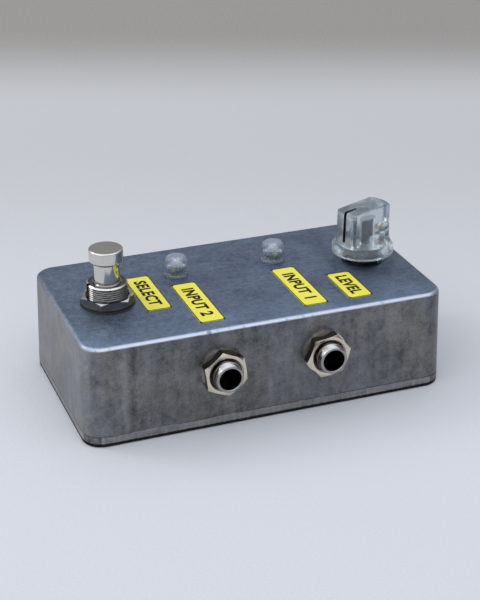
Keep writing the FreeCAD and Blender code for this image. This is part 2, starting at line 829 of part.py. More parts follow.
def footswitch_frame():
    """The folded steel frame round the contact block, with a tab under each side."""
    top = block("frame_top", ("frame_width", "frame_length", "frame_top_thickness"), ("0", "0", FRAME_UNDER))
    pieces = [top]
    wall_low = f"({BASE_UNDER} - frame_tab_thickness)"
    wall_size = ("frame_side_thickness", "frame_length", f"{FRAME_TOP} - {wall_low}")
    inner_face = "frame_width / 2 - frame_side_thickness"
    for name, x, tab_x in (
        ("head", inner_face, f"{inner_face} - frame_tab_reach"),
        ("foot", "-frame_width / 2", f"-({inner_face})"),
    ):
        wall = box(f"frame_{name}_wall", wall_size, (x, "-frame_length / 2", wall_low))
        tab = box(f"frame_{name}_tab", ("frame_tab_reach", "frame_tab_width", "frame_tab_thickness"),
                  (tab_x, "-frame_tab_width / 2", wall_low))
        pieces.extend([wall, tab])
    folded = join("frame_folded", *pieces)
    hole = rod("frame_hole", "switch_bush_radius + fit_clearance", "3 * frame_top_thickness",
               ("0", "0", f"{FRAME_UNDER} - frame_top_thickness"))
    node(move(cut("footswitch_frame", folded, hole), SWITCH_PLACE), "footswitch_frame")


def footswitch_lug(name, x, y, top, spare="0"):
    """One solder lug, or the slot for it when some spare room is given."""
    sizes = (f"lug_thickness + 2 * ({spare})", f"lug_width + 2 * ({spare})",
             f"({top}) - {BASE_UNDER} + lug_tail")
    return block(name, sizes, (x, y, f"{BASE_UNDER} - lug_tail"))


def footswitch_base():
    """The moulded contact block, its two ears, and the nine lugs through it."""
    columns = (("foot", "-lug_pitch_x"), ("middle", "0"), ("head", "lug_pitch_x"))
    rows = (("near", "-lug_pitch_y"), ("centre", "0"), ("far", "lug_pitch_y"))
    pieces = [block("base_block", (BASE_WIDTH, "frame_length", "base_thickness"), ("0", "0", BASE_UNDER))]
    ear_height = f"{TOGGLE_PIVOT} + ear_above_pivot - {BASE_UNDER}"
    ear_size = ("ear_width", "ear_thickness", ear_height)
    ear_middle = "(frame_length / 2 - ear_thickness / 2)"
    for name, y in (("near", f"-{ear_middle}"), ("far", ear_middle)):
        pieces.append(block(f"base_{name}_ear", ear_size, ("0", y, BASE_UNDER)))
    moulding = join("base_moulding", *pieces)
    pin_hole = rod("toggle_pin_hole", "toggle_pin_radius + fit_clearance", "2 * frame_length",
                   ("0", "frame_length", TOGGLE_PIVOT), (1, 0, 0), "90")
    holes = [pin_hole]
    lugs = []
    for column, x in columns:
        middle_top = f"{TOGGLE_PIVOT} - {STRIP_UNDER} - contact_gap"
        top = middle_top if column == "middle" else f"{BASE_TOP} + lug_head"
        for row, y in rows:
            holes.append(footswitch_lug(f"slot_{column}_{row}", x, y, top, spare="fit_clearance"))
            blade = footswitch_lug(f"blade_{column}_{row}", x, y, top)
            eye = rod(f"eye_{column}_{row}", "lug_eye_radius", "4 * lug_thickness",
                      (f"({x}) - 2 * lug_thickness", y, f"{BASE_UNDER} - lug_tail + lug_eye_inset"),
                      (0, 1, 0), "90")
            lugs.append(cut(f"lug_{column}_{row}", blade, eye))
    node(move(cut("footswitch_base", moulding, *holes), SWITCH_PLACE), "footswitch_base")
    node(move(group("footswitch_lugs", lugs), SWITCH_PLACE), "footswitch_lugs")


def footswitch_toggle():
    """The rocking carrier and its three contact strips, thrown towards the foot end."""
    reach = "2 * toggle_half_length"
    breadth = "2 * toggle_half_width"
    plate = block("toggle_plate", (reach, breadth, "toggle_plate_thickness"), ("0", "0", "-toggle_drop"))
    hub = rod("toggle_hub", "toggle_hub_radius", breadth, ("0", "toggle_half_width", "0"), (1, 0, 0), "90")
    pin_half = "(frame_length / 2 - toggle_pin_overhang)"
    pin = rod("toggle_pin", "toggle_pin_radius", f"2 * {pin_half}", ("0", pin_half, "0"), (1, 0, 0), "90")
    pieces = [hub, plate, pin]
    for name, side in (("head", ""), ("foot", "-")):
        x = f"{side}(toggle_half_length - ridge_inset - ridge_width / 2)"
        height = "ridge_height + toggle_plate_thickness - toggle_drop"
        pieces.append(block(f"toggle_{name}_ridge", ("ridge_width", "ridge_length", height), (x, "0", "0")))
    fall = f"-({STRIP_UNDER})"
    room = block("strip_room", (reach, breadth, STRIP_UNDER), ("0", "0", f"-toggle_drop - {STRIP_UNDER}"))
    carrier = cut("footswitch_toggle", join("toggle_moulding", *pieces), room)
    strips = [
        block(f"contact_strip_{name}", (reach, "strip_width", "strip_thickness"), ("0", y, fall))
        for name, y in (("near", "-lug_pitch_y"), ("centre", "0"), ("far", "lug_pitch_y"))
    ]
    place = (SWITCH_X, "switch_y", f"{TOP} + {TOGGLE_PIVOT}")
    node(move(carrier, place, (0, 1, 0), "-toggle_angle"), "footswitch_toggle")
    node(move(group("footswitch_contact_strips", strips), place, (0, 1, 0), "-toggle_angle"),
         "footswitch_contact_strips")


# Level control, with heights measured from the top face

POT_PLACE = (POT_X, "pot_y", TOP)
POT_BORE = "shaft_radius + shaft_clearance"
PLATE_UNDER = "-(top_wall + pot_plate_thickness)"
BOARD_UNDER = f"({PLATE_UNDER} - pot_board_thickness)"
COVER_UNDER = f"({BOARD_UNDER} - pot_cover_depth)"
COVER_FLOOR = f"({COVER_UNDER} + pot_cover_thickness)"
WIPER_TOP = f"({BOARD_UNDER} - wiper_gap)"


def pot_case():
    """The bush with its plate, the track board behind it and the cover that closes the back."""
    bush = turned("pot_bush_plate", [
        (POT_BORE, "pot_bush_rise"),
        ("pot_bush_radius", "pot_bush_rise"),
        ("pot_bush_radius", "-top_wall"),
        ("pot_radius", "-top_wall"),
        ("pot_radius", PLATE_UNDER),
        (POT_BORE, PLATE_UNDER),
    ])
    node(move(bush, POT_PLACE), "pot_bush_plate")

    disc = rod("board_disc", "pot_radius", "pot_board_thickness", ("0", "0", BOARD_UNDER))
    reach = "pot_radius + pot_tongue_reach"
    tongue = box("board_tongue", ("pot_tongue_width", reach, "pot_board_thickness"),
                 ("-pot_tongue_width / 2", f"-({reach})", BOARD_UNDER))
    hole = rod("board_hole", f"{POT_BORE} + wiper_gap", "3 * pot_board_thickness",
               ("0", "0", f"{BOARD_UNDER} - pot_board_thickness"))
    board = cut("pot_track_board", join("board_blank", disc, tongue), hole)
    node(move(board, POT_PLACE), "pot_track_board")

    cup = turned("pot_cover", [
        ("0", COVER_UNDER),
        ("pot_radius", COVER_UNDER, "Fillet", "pot_cover_round"),
        ("pot_radius", BOARD_UNDER),
        ("pot_radius - pot_cover_thickness", BOARD_UNDER),
        ("pot_radius - pot_cover_thickness", COVER_FLOOR),
        ("0", COVER_FLOOR),
    ])
    node(move(cup, POT_PLACE), "pot_cover")


def pot_lugs():
    """Three solder lugs under the board's tongue."""
    lugs = []
    length = "pot_tongue_reach + pot_lug_reach - fit_clearance"
    far = "-(pot_radius + pot_tongue_reach + pot_lug_reach)"
    low = f"{BOARD_UNDER} - pot_lug_thickness"
    for name, x in (("left", "-pot_lug_pitch"), ("middle", "0"), ("right", "pot_lug_pitch")):
        blade = box(f"pot_blade_{name}", ("pot_lug_width", length, "pot_lug_thickness"),
                    (f"({x}) - pot_lug_width / 2", far, low))
        eye = rod(f"pot_eye_{name}", "pot_lug_eye_radius", "3 * pot_lug_thickness",
                  (x, f"{far} + pot_lug_eye_inset", f"{low} - pot_lug_thickness"))
        lugs.append(cut(f"pot_lug_{name}", blade, eye))
    node(move(group("pot_lugs", lugs), POT_PLACE), "pot_lugs")


def pot_fixing():
    """The washer and nut on the outside of the top wall."""
    washer = ring("pot_washer", "pot_bush_radius + ring_clearance", "pot_washer_radius",
                  "0", "pot_washer_thickness")
    node(move(washer, POT_PLACE), "pot_washer")
    nut = hex_nut("pot_nut", "pot_nut_flats", "pot_nut_thickness",
                  "pot_bush_radius + thread_clearance", "pot_washer_thickness")
    node(move(nut, POT_PLACE), "pot_nut")


def pot_rotor():
    """The shaft and the wiper fixed to its lower end."""
    top = "knob_gap + knob_hollow_depth + shaft_in_knob"
    shaft = turned("pot_shaft", [
        ("0", top),
        ("shaft_radius", top, "Chamfer", "shaft_bevel"),
        ("shaft_radius", f"{COVER_FLOOR} + wiper_gap"),
        ("0", f"{COVER_FLOOR} + wiper_gap"),
    ])
    node(move(shaft, POT_PLACE), "pot_shaft")
    hub = ring("wiper_hub", "shaft_radius", "wiper_hub_radius", f"{COVER_FLOOR} + wiper_gap", WIPER_TOP)
    arm_size = ("wiper_arm_reach - shaft_radius", "wiper_arm_width", "wiper_arm_thickness")
    arm_low = ("shaft_radius + wiper_arm_thickness", "-wiper_arm_width / 2",
               f"{WIPER_TOP} - wiper_arm_thickness")
    arm = box("wiper_arm", arm_size, arm_low)
    node(move(join("pot_wiper", hub, arm), POT_PLACE, angle="pointer_angle"), "pot_wiper")


# Knob, with heights measured from its underside and its pointer along its own x

KNOB_PLACE = (POT_X, "pot_y", f"{TOP} + knob_gap")
KNOB_BORE = "shaft_radius + knob_bore_clearance"


def knob_envelope(label, hollow=True):
    """The round outer form: rim, concave flare and steep sides with a rounded top edge."""
    outline = [
        ("knob_rim_radius", "0", "Fillet", "knob_rim_round"),
        ("knob_rim_radius", "knob_rim_height"),
        ("grip_low_radius", "grip_low_height", "Fillet", "grip_flare"),
        ("grip_top_radius", "knob_height", "Fillet", "grip_top_round"),
        ("0", "knob_height"),
    ]
    if hollow:
        bore_top = "knob_hollow_depth + shaft_in_knob + 2 * shaft_clearance"
        outline += [
            ("0", bore_top),
            (KNOB_BORE, bore_top),
            (KNOB_BORE, "knob_hollow_depth"),
            ("knob_hollow_radius", "knob_hollow_depth"),
            ("knob_hollow_radius", "0"),
        ]
    else:
        outline.append(("0", "0"))
    return turned(label, outline)


def pointer_block(label):
    """The inlay's room: along the top from near the middle, then down the end face."""
    length = "knob_rim_radius - pointer_start"
    top = box(label + "_top", (length, "pointer_width", "pointer_depth"),
              ("pointer_start", "-pointer_width / 2", "knob_height - pointer_depth"))
    inner = "grip_top_radius - pointer_depth"
    face = box(label + "_face", (f"knob_rim_radius - ({inner})", "pointer_width", "pointer_drop"),
               (inner, "-pointer_width / 2", "knob_height - pointer_drop"))
    return join(label, top, face)


def knob():
    """A clear knob: a flat-sided bar that stands in a conical skirt, with a black pointer."""
    bar = new_body("grip_bar")
    sketch = new_sketch(bar, "XZ_Plane", "grip_side")
    half = "knob_rim_radius + grip_half_width"
    draw_outline(sketch, [
        (f"-({half})", "0"),
        (half, "0"),
        (half, "knob_height"),
        (f"-({half})", "knob_height"),
    ])
    extrude(bar, "Pad", sketch, "2 * grip_half_width", middle=True)
    document.recompute()
    top = max(corner.Z for corner in bar.Shape.Vertexes)
    ridge = edges_where(bar, lambda edge: is_level(edge, top) and edge.BoundBox.YLength < 0.1)
    dress(bar, "Fillet", ridge, "grip_edge_round")

    skirt = turned("knob_skirt", [
        ("0", "0"),
        ("knob_rim_radius", "0"),
        ("knob_rim_radius", "knob_rim_height"),
        ("grip_half_width", "skirt_height"),
        ("0", "skirt_height"),
    ])
    form = common("knob_form", knob_envelope("knob_round"), join("grip_and_skirt", bar, skirt))
    screw_hole = rod("set_screw_hole", "set_screw_radius + set_screw_clearance", "knob_rim_radius",
                     ("-knob_rim_radius", "0", "set_screw_height"), (0, 1, 0), "90")
    clear = cut("knob_body", form, screw_hole, pointer_block("pointer_room"))
    node(move(clear, KNOB_PLACE, angle="pointer_angle"), "knob_body")

    solid_round = knob_envelope("pointer_round", hollow=False)
    inlay = common("knob_pointer", solid_round, pointer_block("pointer_bar"))
    node(move(inlay, KNOB_PLACE, angle="pointer_angle"), "knob_pointer")

    grub = rod("set_screw_bar", "set_screw_radius", "set_screw_length",
               ("-(shaft_radius + set_screw_length)", "0", "set_screw_height"), (0, 1, 0), "90")
    slot = box("set_screw_slot", ("set_screw_slot", "4 * set_screw_radius", "set_screw_slot"),
               ("-(shaft_radius + set_screw_length)", "-2 * set_screw_radius",
                "set_screw_height - set_screw_slot / 2"))
    node(move(cut("knob_set_screw", grub, slot), KNOB_PLACE, angle="pointer_angle"), "knob_set_screw")


# Lamps, with heights measured from the top face


def lamps():
    """Clear lens caps pressed through the top, each over a light-emitting diode."""
    led_base = "-lens_barrel_length"
    led_top = f"{led_base} + led_height"
    rings, diodes, leads, resistors = [], [], [], []
    for number, x in LAMPS:
        place = (x, "lamp_y", TOP)
        bore = "led_radius + lens_bore_clearance"
        lens = turned(f"lamp_lens_{number}", [
            ("0", "lens_rise"),
            ("lens_radius", "lens_rise", "Fillet", "lens_round"),
            ("lens_radius", "lens_flange_height"),
            ("lens_flange_radius", "lens_flange_height", "Fillet", "lens_flange_height / 3"),
            ("lens_flange_radius", "0"),
            ("lens_barrel_radius", "0"),
            ("lens_barrel_radius", "-lens_barrel_length"),
            (bore, "-lens_barrel_length"),
            (bore, "lens_bore_top", "Fillet", "lens_round"),
            ("0", "lens_bore_top"),
        ])
        node(move(lens, place), f"lamp_lens_{number}")
        clip = ring(f"lens_ring_{number}", "lens_barrel_radius + lens_ring_clearance", "lens_ring_radius",
                    "-(top_wall + lens_ring_thickness)", "-top_wall")
        rings.append(move(clip, place))
        flange_low = f"{led_base} - led_flange_thickness"
        diode = turned(f"led_{number}", [
            ("0", led_top),
            ("led_radius", led_top, "Fillet", "led_radius * 0.9"),
            ("led_radius", led_base),
            ("led_flange_radius", led_base),
            ("led_flange_radius", flange_low),
            ("0", flange_low),
        ])
        diodes.append(move(diode, place))
        lead_low = f"{flange_low} - lead_length"
        for side in ("", "-"):
            lead = rod(f"lead_{number}{side}", "lead_radius", "lead_length",
                       (f"({x}) + {side}lead_half_pitch", "lamp_y", f"{TOP} + {lead_low}"))
            leads.append(lead)
        low = f"{lead_low} - resistor_length"
        resistor = turned(f"resistor_{number}", [
            ("0", lead_low),
            ("resistor_radius", lead_low, "Fillet", "resistor_round"),
            ("resistor_radius", low, "Fillet", "resistor_round"),
            ("0", low),
        ])
        resistors.append(move(resistor, (f"({x}) + lead_half_pitch", "lamp_y", TOP)))
    node(group("lamp_lens_rings", rings), "lamp_lens_rings")
    node(group("lamp_diodes", diodes), "lamp_diodes")
    node(group("lamp_leads", leads), "lamp_leads")
    node(group("lamp_resistors", resistors), "lamp_resistors")


# Jacks, each modelled standing on the wall's outer face with its mouth upwards

PLATE_BACK = f"(-{WALL_DEPTH} - jack_plate_thickness)"
STACK_FRONT = f"({PLATE_BACK} - jack_stack_inset)"
STACK_BACK = f"({STACK_FRONT} - jack_stack_length)"
STACK_MIDDLE = f"({STACK_FRONT} - jack_stack_length / 2)"
UPPER_INSULATOR = "(jack_leg_offset - jack_insulator_thickness)"
SPRING_UNDER = f"({UPPER_INSULATOR} - tip_spring_thickness)"
LOWER_INSULATOR = f"({SPRING_UNDER} - jack_insulator_thickness)"
LUG_END = "(jack_lug_reach + jack_leg_width / 2)"
LUG_SIZE = (LUG_END, "tip_spring_thickness", "jack_lug_width")


def jack_body(name):
    """The threaded barrel with its smooth nose, the plate behind the wall and the folded leg."""
    barrel = turned(name + "_barrel", [
        ("jack_bore_radius", PLATE_BACK),
        ("jack_bore_radius", "jack_nose_reach", "Fillet", "jack_mouth_round"),
        ("jack_nose_tip_radius", "jack_nose_reach", "Fillet", "jack_nose_round"),
        ("jack_nose_radius", "jack_thread_reach"),
        ("jack_thread_radius", "jack_thread_reach", "Chamfer", "jack_thread_bevel"),
        ("jack_thread_radius", PLATE_BACK),
    ])
    height = "jack_plate_below + jack_leg_offset + jack_plate_thickness"
    plate = box(name + "_plate", ("jack_plate_width", height, "jack_plate_thickness"),
                ("-jack_plate_width / 2", "-jack_plate_below", PLATE_BACK))
    leg = box(name + "_leg", ("jack_leg_width", "jack_plate_thickness", "jack_leg_length"),
              ("-jack_leg_width / 2", "jack_leg_offset", f"{PLATE_BACK} - jack_leg_length"))
    lug = box(name + "_sleeve_lug", LUG_SIZE,
              (f"-{LUG_END}", "jack_leg_offset", f"{STACK_MIDDLE} - jack_lug_width / 2"))
    solid = join(name + "_solid", plate, leg, lug)
    bore = rod(name + "_bore", "jack_bore_radius", "4 * jack_plate_thickness",
               ("0", "0", f"{PLATE_BACK} - jack_plate_thickness"))
    above_leg = "jack_leg_offset + 3 * jack_plate_thickness"
    rivet_hole = rod(name + "_rivet_hole", "jack_rivet_radius + fit_clearance", "4 * jack_plate_thickness",
                     ("0", above_leg, STACK_MIDDLE), (1, 0, 0), "90")
    eye = rod(name + "_sleeve_eye", "jack_lug_eye_radius", "4 * jack_plate_thickness",
              (f"-({LUG_END} - jack_lug_width / 2)", above_leg, STACK_MIDDLE), (1, 0, 0), "90")
    return join(name + "_jack_body", barrel, cut(name + "_frame", solid, bore, rivet_hole, eye))


def jack_insulators(name):
    """Two insulating blocks that hold the tip spring off the leg."""
    halves = []
    slab_size = ("jack_stack_width", "jack_insulator_thickness", "jack_stack_length")
    for half, y in (("upper", UPPER_INSULATOR), ("lower", LOWER_INSULATOR)):
        slab = box(f"{name}_{half}_slab", slab_size, ("-jack_stack_width / 2", y, STACK_BACK))
        hole = rod(f"{name}_{half}_hole", "jack_rivet_radius + fit_clearance", f"3 * {slab_size[1]}",
                   ("0", f"{y} + 2 * {slab_size[1]}", STACK_MIDDLE), (1, 0, 0), "90")
        halves.append(cut(f"{name}_{half}_insulator", slab, hole))
    return group(name + "_jack_insulators", halves)


def tip_spring(name):
    """The contact leaf: straight through the stack, then bent in to where a plug's tip lies."""
    leaf = new_body(name + "_leaf")
    sketch = new_sketch(leaf, "YZ_Plane", name + "_leaf_side")
    straight = f"({STACK_FRONT} - tip_spring_straight)"
    knee = f"({straight} - tip_spring_bend)"
    end = f"({knee} - tip_spring_bend)"
    touch = "(jack_bore_radius + tip_spring_gap)"
    draw_outline(sketch, [
        (SPRING_UNDER, STACK_FRONT),
        (SPRING_UNDER, straight),
        (touch, knee),
        (f"{touch} + tip_spring_bend / 2", end),
        (f"{touch} + tip_spring_bend / 2 + tip_spring_thickness", end),
        (f"{touch} + tip_spring_thickness", knee),
        (f"{SPRING_UNDER} + tip_spring_thickness", straight),
        (f"{SPRING_UNDER} + tip_spring_thickness", STACK_FRONT),
    ])
    extrude(leaf, "Pad", sketch, "tip_spring_width", middle=True)
    lug = box(name + "_tip_lug", LUG_SIZE, ("0", SPRING_UNDER, f"{STACK_MIDDLE} - jack_lug_width / 2"))
    above_leaf = f"{SPRING_UNDER} + 3 * tip_spring_thickness"
    hole = rod(name + "_leaf_hole", "jack_rivet_head", "4 * tip_spring_thickness",
               ("0", above_leaf, STACK_MIDDLE), (1, 0, 0), "90")
    eye = rod(name + "_tip_eye", "jack_lug_eye_radius", "4 * tip_spring_thickness",
              (f"{LUG_END} - jack_lug_width / 2", above_leaf, STACK_MIDDLE), (1, 0, 0), "90")
    return cut(name + "_tip_spring", join(name + "_leaf_and_lug", leaf, lug), hole, eye)


def jack_rivet(name):
    """The rivet that holds the stack to the leg."""
    shank = f"jack_leg_offset + jack_plate_thickness - {LOWER_INSULATOR}"
    made = turned(name + "_rivet", [
        ("0", "-jack_rivet_head_height"),
        ("jack_rivet_head", "-jack_rivet_head_height"),
        ("jack_rivet_head", "0"),
        ("jack_rivet_radius", "0"),
        ("jack_rivet_radius", shank),
        ("0", shank),
    ])
    return move(made, ("0", LOWER_INSULATOR, STACK_MIDDLE), (1, 0, 0), "-90")


def jacks():
    """Three open-frame jacks with their nuts and washers."""
    nuts, washers, rivets = [], [], []
    for name, place, axis, angle in JACKS:
        node(move(jack_body(name), place, axis, angle), name + "_jack_body")
        node(move(jack_insulators(name), place, axis, angle), name + "_jack_insulators")
        node(move(tip_spring(name), place, axis, angle), name + "_jack_tip_spring")
        washer = ring(name + "_washer", "jack_thread_radius + jack_hole_clearance", "jack_washer_radius",
                      "0", "jack_washer_thickness")
        washers.append(move(washer, place, axis, angle))
        nut = hex_nut(name + "_nut_flat", "jack_nut_flats", "jack_nut_thickness",
                      "jack_thread_radius + jack_nut_clearance", "jack_washer_thickness")
        move(nut, ("0", "0", "0"), angle=f"{name}_nut_angle")
        nuts.append(move(group(name + "_nut", [nut]), place, axis, angle))
        rivets.append(move(group(name + "_rivet_set", [jack_rivet(name)]), place, axis, angle))
    node(group("jack_nuts", nuts), "jack_nuts")
    node(group("jack_washers", washers), "jack_washers")
    node(group("jack_rivets", rivets), "jack_rivets")


# Power socket, modelled standing on the head wall's outer face with its mouth upwards


def power_socket():
    """A round socket with a centre pin, clamped by a nut inside the wall."""
    turn = ((0, 1, 0), "90 - draft_angle")
    back = "-power_barrel_length"
    floor = "(power_flange_thickness - power_bore_depth)"
    pin_hole = "power_pin_radius"
    body = turned("power_socket_body", [
        (pin_hole, back),
        (pin_hole, floor),
        ("power_bore_radius", floor),
        ("power_bore_radius", "power_flange_thickness"),
        ("power_flange_radius", "power_flange_thickness", "Fillet", "power_flange_round"),
        ("power_flange_radius", "0"),
        ("power_barrel_radius", "0"),
        ("power_barrel_radius", back),
    ])
    node(move(body, POWER_PLACE, *turn), "power_socket_body")
    nut = hex_nut("power_socket_nut", "power_nut_flats", "power_nut_thickness",
                  "power_barrel_radius + thread_clearance", f"-{WALL_DEPTH} - power_nut_thickness")
    node(move(nut, POWER_PLACE, *turn), "power_socket_nut")
    pin_top = "power_flange_thickness - power_pin_setback"
    pin = turned("power_socket_pin", [
        ("0", f"{back} - power_pin_tail"),
        ("power_pin_radius", f"{back} - power_pin_tail"),
        ("power_pin_radius", pin_top, "Fillet", "power_pin_radius / 2"),
        ("0", pin_top),
    ])
    node(move(pin, POWER_PLACE, *turn), "power_socket_pin")
    terminals = [
        block(f"power_terminal_{name}",
              ("power_terminal_thickness", "power_terminal_width", "power_terminal_length"),
              ("0", y, f"{back} - power_terminal_length"))
        for name, y in (("plus", "power_terminal_offset"), ("minus", "-power_terminal_offset"))
    ]
    node(move(group("power_socket_terminals", terminals), POWER_PLACE, *turn), "power_socket_terminals")


# Wires: down from one end, along a lane in the low layer, across in the high one, up to the other end

DIRECTIONS = {
    "+x": (0, Vector(1, 0, 0)),
    "-x": (0, Vector(-1, 0, 0)),
    "+y": (1, Vector(0, 1, 0)),
    "-y": (1, Vector(0, -1, 0)),
    "+z": (2, Vector(0, 0, 1)),
    "-z": (2, Vector(0, 0, -1)),
}
ALONG = {"x": ((0, 1, 0), "90"), "y": ((1, 0, 0), "-90"), "z": ((0, 0, 1), None)}


def wire(name, corners, headings):
    """A bent wire through corners, each run along one axis: (x, y, z) formulas and headings."""
    pieces = []
    for number, heading in enumerate(headings):
        start, end = corners[number], corners[number + 1]
        axis, direction = DIRECTIONS[heading]
        sign = heading[0]
        before = "wire_bend" if number else "0"
        after = "wire_bend" if number < len(headings) - 1 else "0"
        length = f"{sign}(({end[axis]}) - ({start[axis]})) - {before} - {after}"
        low = list(start)
        if sign == "+":
            low[axis] = f"({start[axis]}) + {before}"
        else:
            low[axis] = f"({end[axis]}) + {after}"
        turn, angle = ALONG[heading[1]]
        pieces.append(rod(f"{name}_run_{number}", "wire_radius", length, low, turn, angle))
        if number < len(headings) - 1:
            following = DIRECTIONS[headings[number + 1]][1]
            pieces.append(bend(f"{name}_bend_{number}", end, direction, following))
    return join(name, *pieces)


def bend(name, corner, coming, going):
    """A quarter turn that rounds one corner of a wire."""
    elbow = add("Part::Torus", name)
    elbow.Angle3 = 90
    tie(elbow, {"Radius1": "wire_bend", "Radius2": "wire_radius"})
    elbow.Placement = Placement(Vector(), Rotation(-going, coming, coming.cross(going), "XYZ"))
    for path, formula, step in zip("xyz", corner, going - coming):
        shift = f" + ({step:.0f}) * wire_bend" if step else ""
        tie(elbow, {f"Placement.Base.{path}": f"({formula}){shift}"})
    return elbow


def jack_lug(jack, from_plug_tip):
    """Where a wire comes up against a lug of a jack."""
    name, place, axis, angle = jack
    sideways = f"({LUG_END} - jack_lug_width / 2)"
    rear = name == "output"
    height = SPRING_UNDER if from_plug_tip else "jack_leg_offset"
    if rear:
        height = f"({height} + tip_spring_thickness)"
    upward, inward = ("-", "+") if rear else ("+", "-")
    x = f"{place[0]} {'+' if from_plug_tip else '-'} {sideways}"
    y = (f"{place[1]} + {height} * sin(draft_angle * 1deg)"
         f" {inward} {STACK_MIDDLE} * cos(draft_angle * 1deg)")
    z = (f"jack_height {upward} {height} * cos(draft_angle * 1deg)"
         f" + {STACK_MIDDLE} * sin(draft_angle * 1deg) - wire_radius * tan(draft_angle * 1deg)")
    return x, y, z


def switch_lug(x, y):
    return f"{SWITCH_X} + ({x})", f"switch_y + ({y})", f"{TOP} + {BASE_UNDER} - lug_tail"


def pot_lug(x):
    far = "(pot_radius + pot_tongue_reach + pot_lug_reach - pot_lug_eye_inset)"
    return f"{POT_X} + ({x})", f"pot_y - {far}", f"{TOP} + {BOARD_UNDER} - pot_lug_thickness"


def lamp_end(number, on_resistor):
    """The lower end of a lamp's resistor, or of its bare lead."""
    low = f"{TOP} - lens_barrel_length - led_flange_thickness - lead_length"
    x = dict(LAMPS)[number]
    if on_resistor:
        return f"{x} + lead_half_pitch", "lamp_y", f"{low} - resistor_length"
    return f"{x} - lead_half_pitch", "lamp_y", low


def power_terminal(y, inset):
    """Where a wire comes up against a terminal of the power socket."""
    back = f"(power_barrel_length + power_terminal_length - ({inset}))"
    under = "power_terminal_thickness / 2"
    x = f"{HEAD_WALL} - {back} * cos(draft_angle * 1deg) + {under} * sin(draft_angle * 1deg)"
    z = (f"power_height - {back} * sin(draft_angle * 1deg) - {under} * cos(draft_angle * 1deg)"
         " - wire_radius * tan(draft_angle * 1deg)")
    return x, y, z


def route(name, start, end, eastward, lane=None, lane_ahead=None, rise_ahead=True):
    """A wire from one end to another by a lane, which is the start's own y when none is given."""
    low, high = "wire_low", "wire_high"
    along = "+x" if eastward else "-x"
    across = "+y" if rise_ahead else "-y"
    if lane is None:
        lane = start[1]
        corners = [start, (start[0], lane, low)]
        headings = ["-z", along, "+z", across, "+z"]
    else:
        corners = [start, (start[0], start[1], high), (start[0], lane, high), (start[0], lane, low)]
        headings = ["-z", "+y" if lane_ahead else "-y", "-z", along, "+z", across, "+z"]
    corners += [(end[0], lane, low), (end[0], lane, high), (end[0], end[1], high), end]
    return wire(name, corners, headings)


def wires():
    """Eleven wires in three sorts: signal, ground and lamps."""
    input_1, input_2, output = JACKS
    x, y = "lug_pitch_x", "lug_pitch_y"
    tip_2, sleeve_1, sleeve_2 = jack_lug(input_2, True), jack_lug(input_1, False), jack_lug(input_2, False)
    signal = [
        route("wire_input_1", jack_lug(input_1, True), switch_lug(f"-{x}", f"-{y}"), False),
        route("wire_input_2", tip_2, switch_lug(x, f"-{y}"), False,
              f"{tip_2[1]} + input_2_tip_lane_in", True),
        route("wire_to_level", pot_lug("-pot_lug_pitch"), switch_lug("0", f"-{y}"), False),
        route("wire_output", jack_lug(output, True), pot_lug("0"), True, rise_ahead=False),
    ]
    minus = power_terminal("-power_terminal_offset", "power_wire_inset + power_wire_pitch / 2")
    ground = [
        route("wire_level_ground", sleeve_1, pot_lug("pot_lug_pitch"), True,
              f"{sleeve_1[1]} - input_1_sleeve_lane_out", False),
        route("wire_power_ground", sleeve_2, minus, True,
              f"{sleeve_2[1]} - input_2_sleeve_lane_out", False),
        route("wire_switch_ground", jack_lug(output, False), switch_lug("0", "0"), False, rise_ahead=False),
    ]
    plus = "power_terminal_offset"
    lamp = [
        route("wire_lamp_1_feed", lamp_end("1", True),
              power_terminal(plus, "power_wire_inset + power_wire_pitch"), True, rise_ahead=False),
        route("wire_lamp_2_feed", lamp_end("2", True), power_terminal(plus, "power_wire_inset"), True,
              "lamp_2_feed_lane", True, rise_ahead=False),
        route("wire_lamp_1_return", lamp_end("1", False), switch_lug(f"-{x}", "0"), False,
              "lamp_1_return_lane", False, rise_ahead=False),
        route("wire_lamp_2_return", lamp_end("2", False), switch_lug(x, "0"), False,
              "lamp_2_return_lane", False, rise_ahead=False),
    ]
    node(group("wires_signal", signal), "wires_signal")
    node(group("wires_ground", ground), "wires_ground")
    node(group("wires_lamps", lamp), "wires_lamps")


def check_and_export():
    """Stop on any failed object, then write one STEP file for each piece."""
    document.recompute()
    for thing in document.Objects:
        if {"Invalid", "Error"} & set(thing.State):
            raise RuntimeError(f"{thing.Label} failed: {thing.State}")
    for piece in nodes:
        if piece.Shape.isNull() or not piece.Shape.isValid():
            raise RuntimeError(f"{piece.Label} has no valid shape")
    os.makedirs("parts", exist_ok=True)
    for piece in nodes:
        piece.Shape.exportStep(f"parts/{piece.Label}.step")
    print(len(nodes), "pieces written")


fill_sheet()
enclosure_body()
bottom_lid()
lid_screws()
tape_labels()
footswitch_bush()
footswitch_rings()
footswitch_plunger()
footswitch_spring()
footswitch_frame()
footswitch_base()
footswitch_toggle()
pot_case()
pot_lugs()
pot_fixing()
pot_rotor()
knob()
lamps()
jacks()
power_socket()
wires()
check_and_export()
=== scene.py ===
"""Two-input selector pedal: looks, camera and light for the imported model."""

import json
import math

import bmesh
import bpy
from mathutils import Matrix, Vector


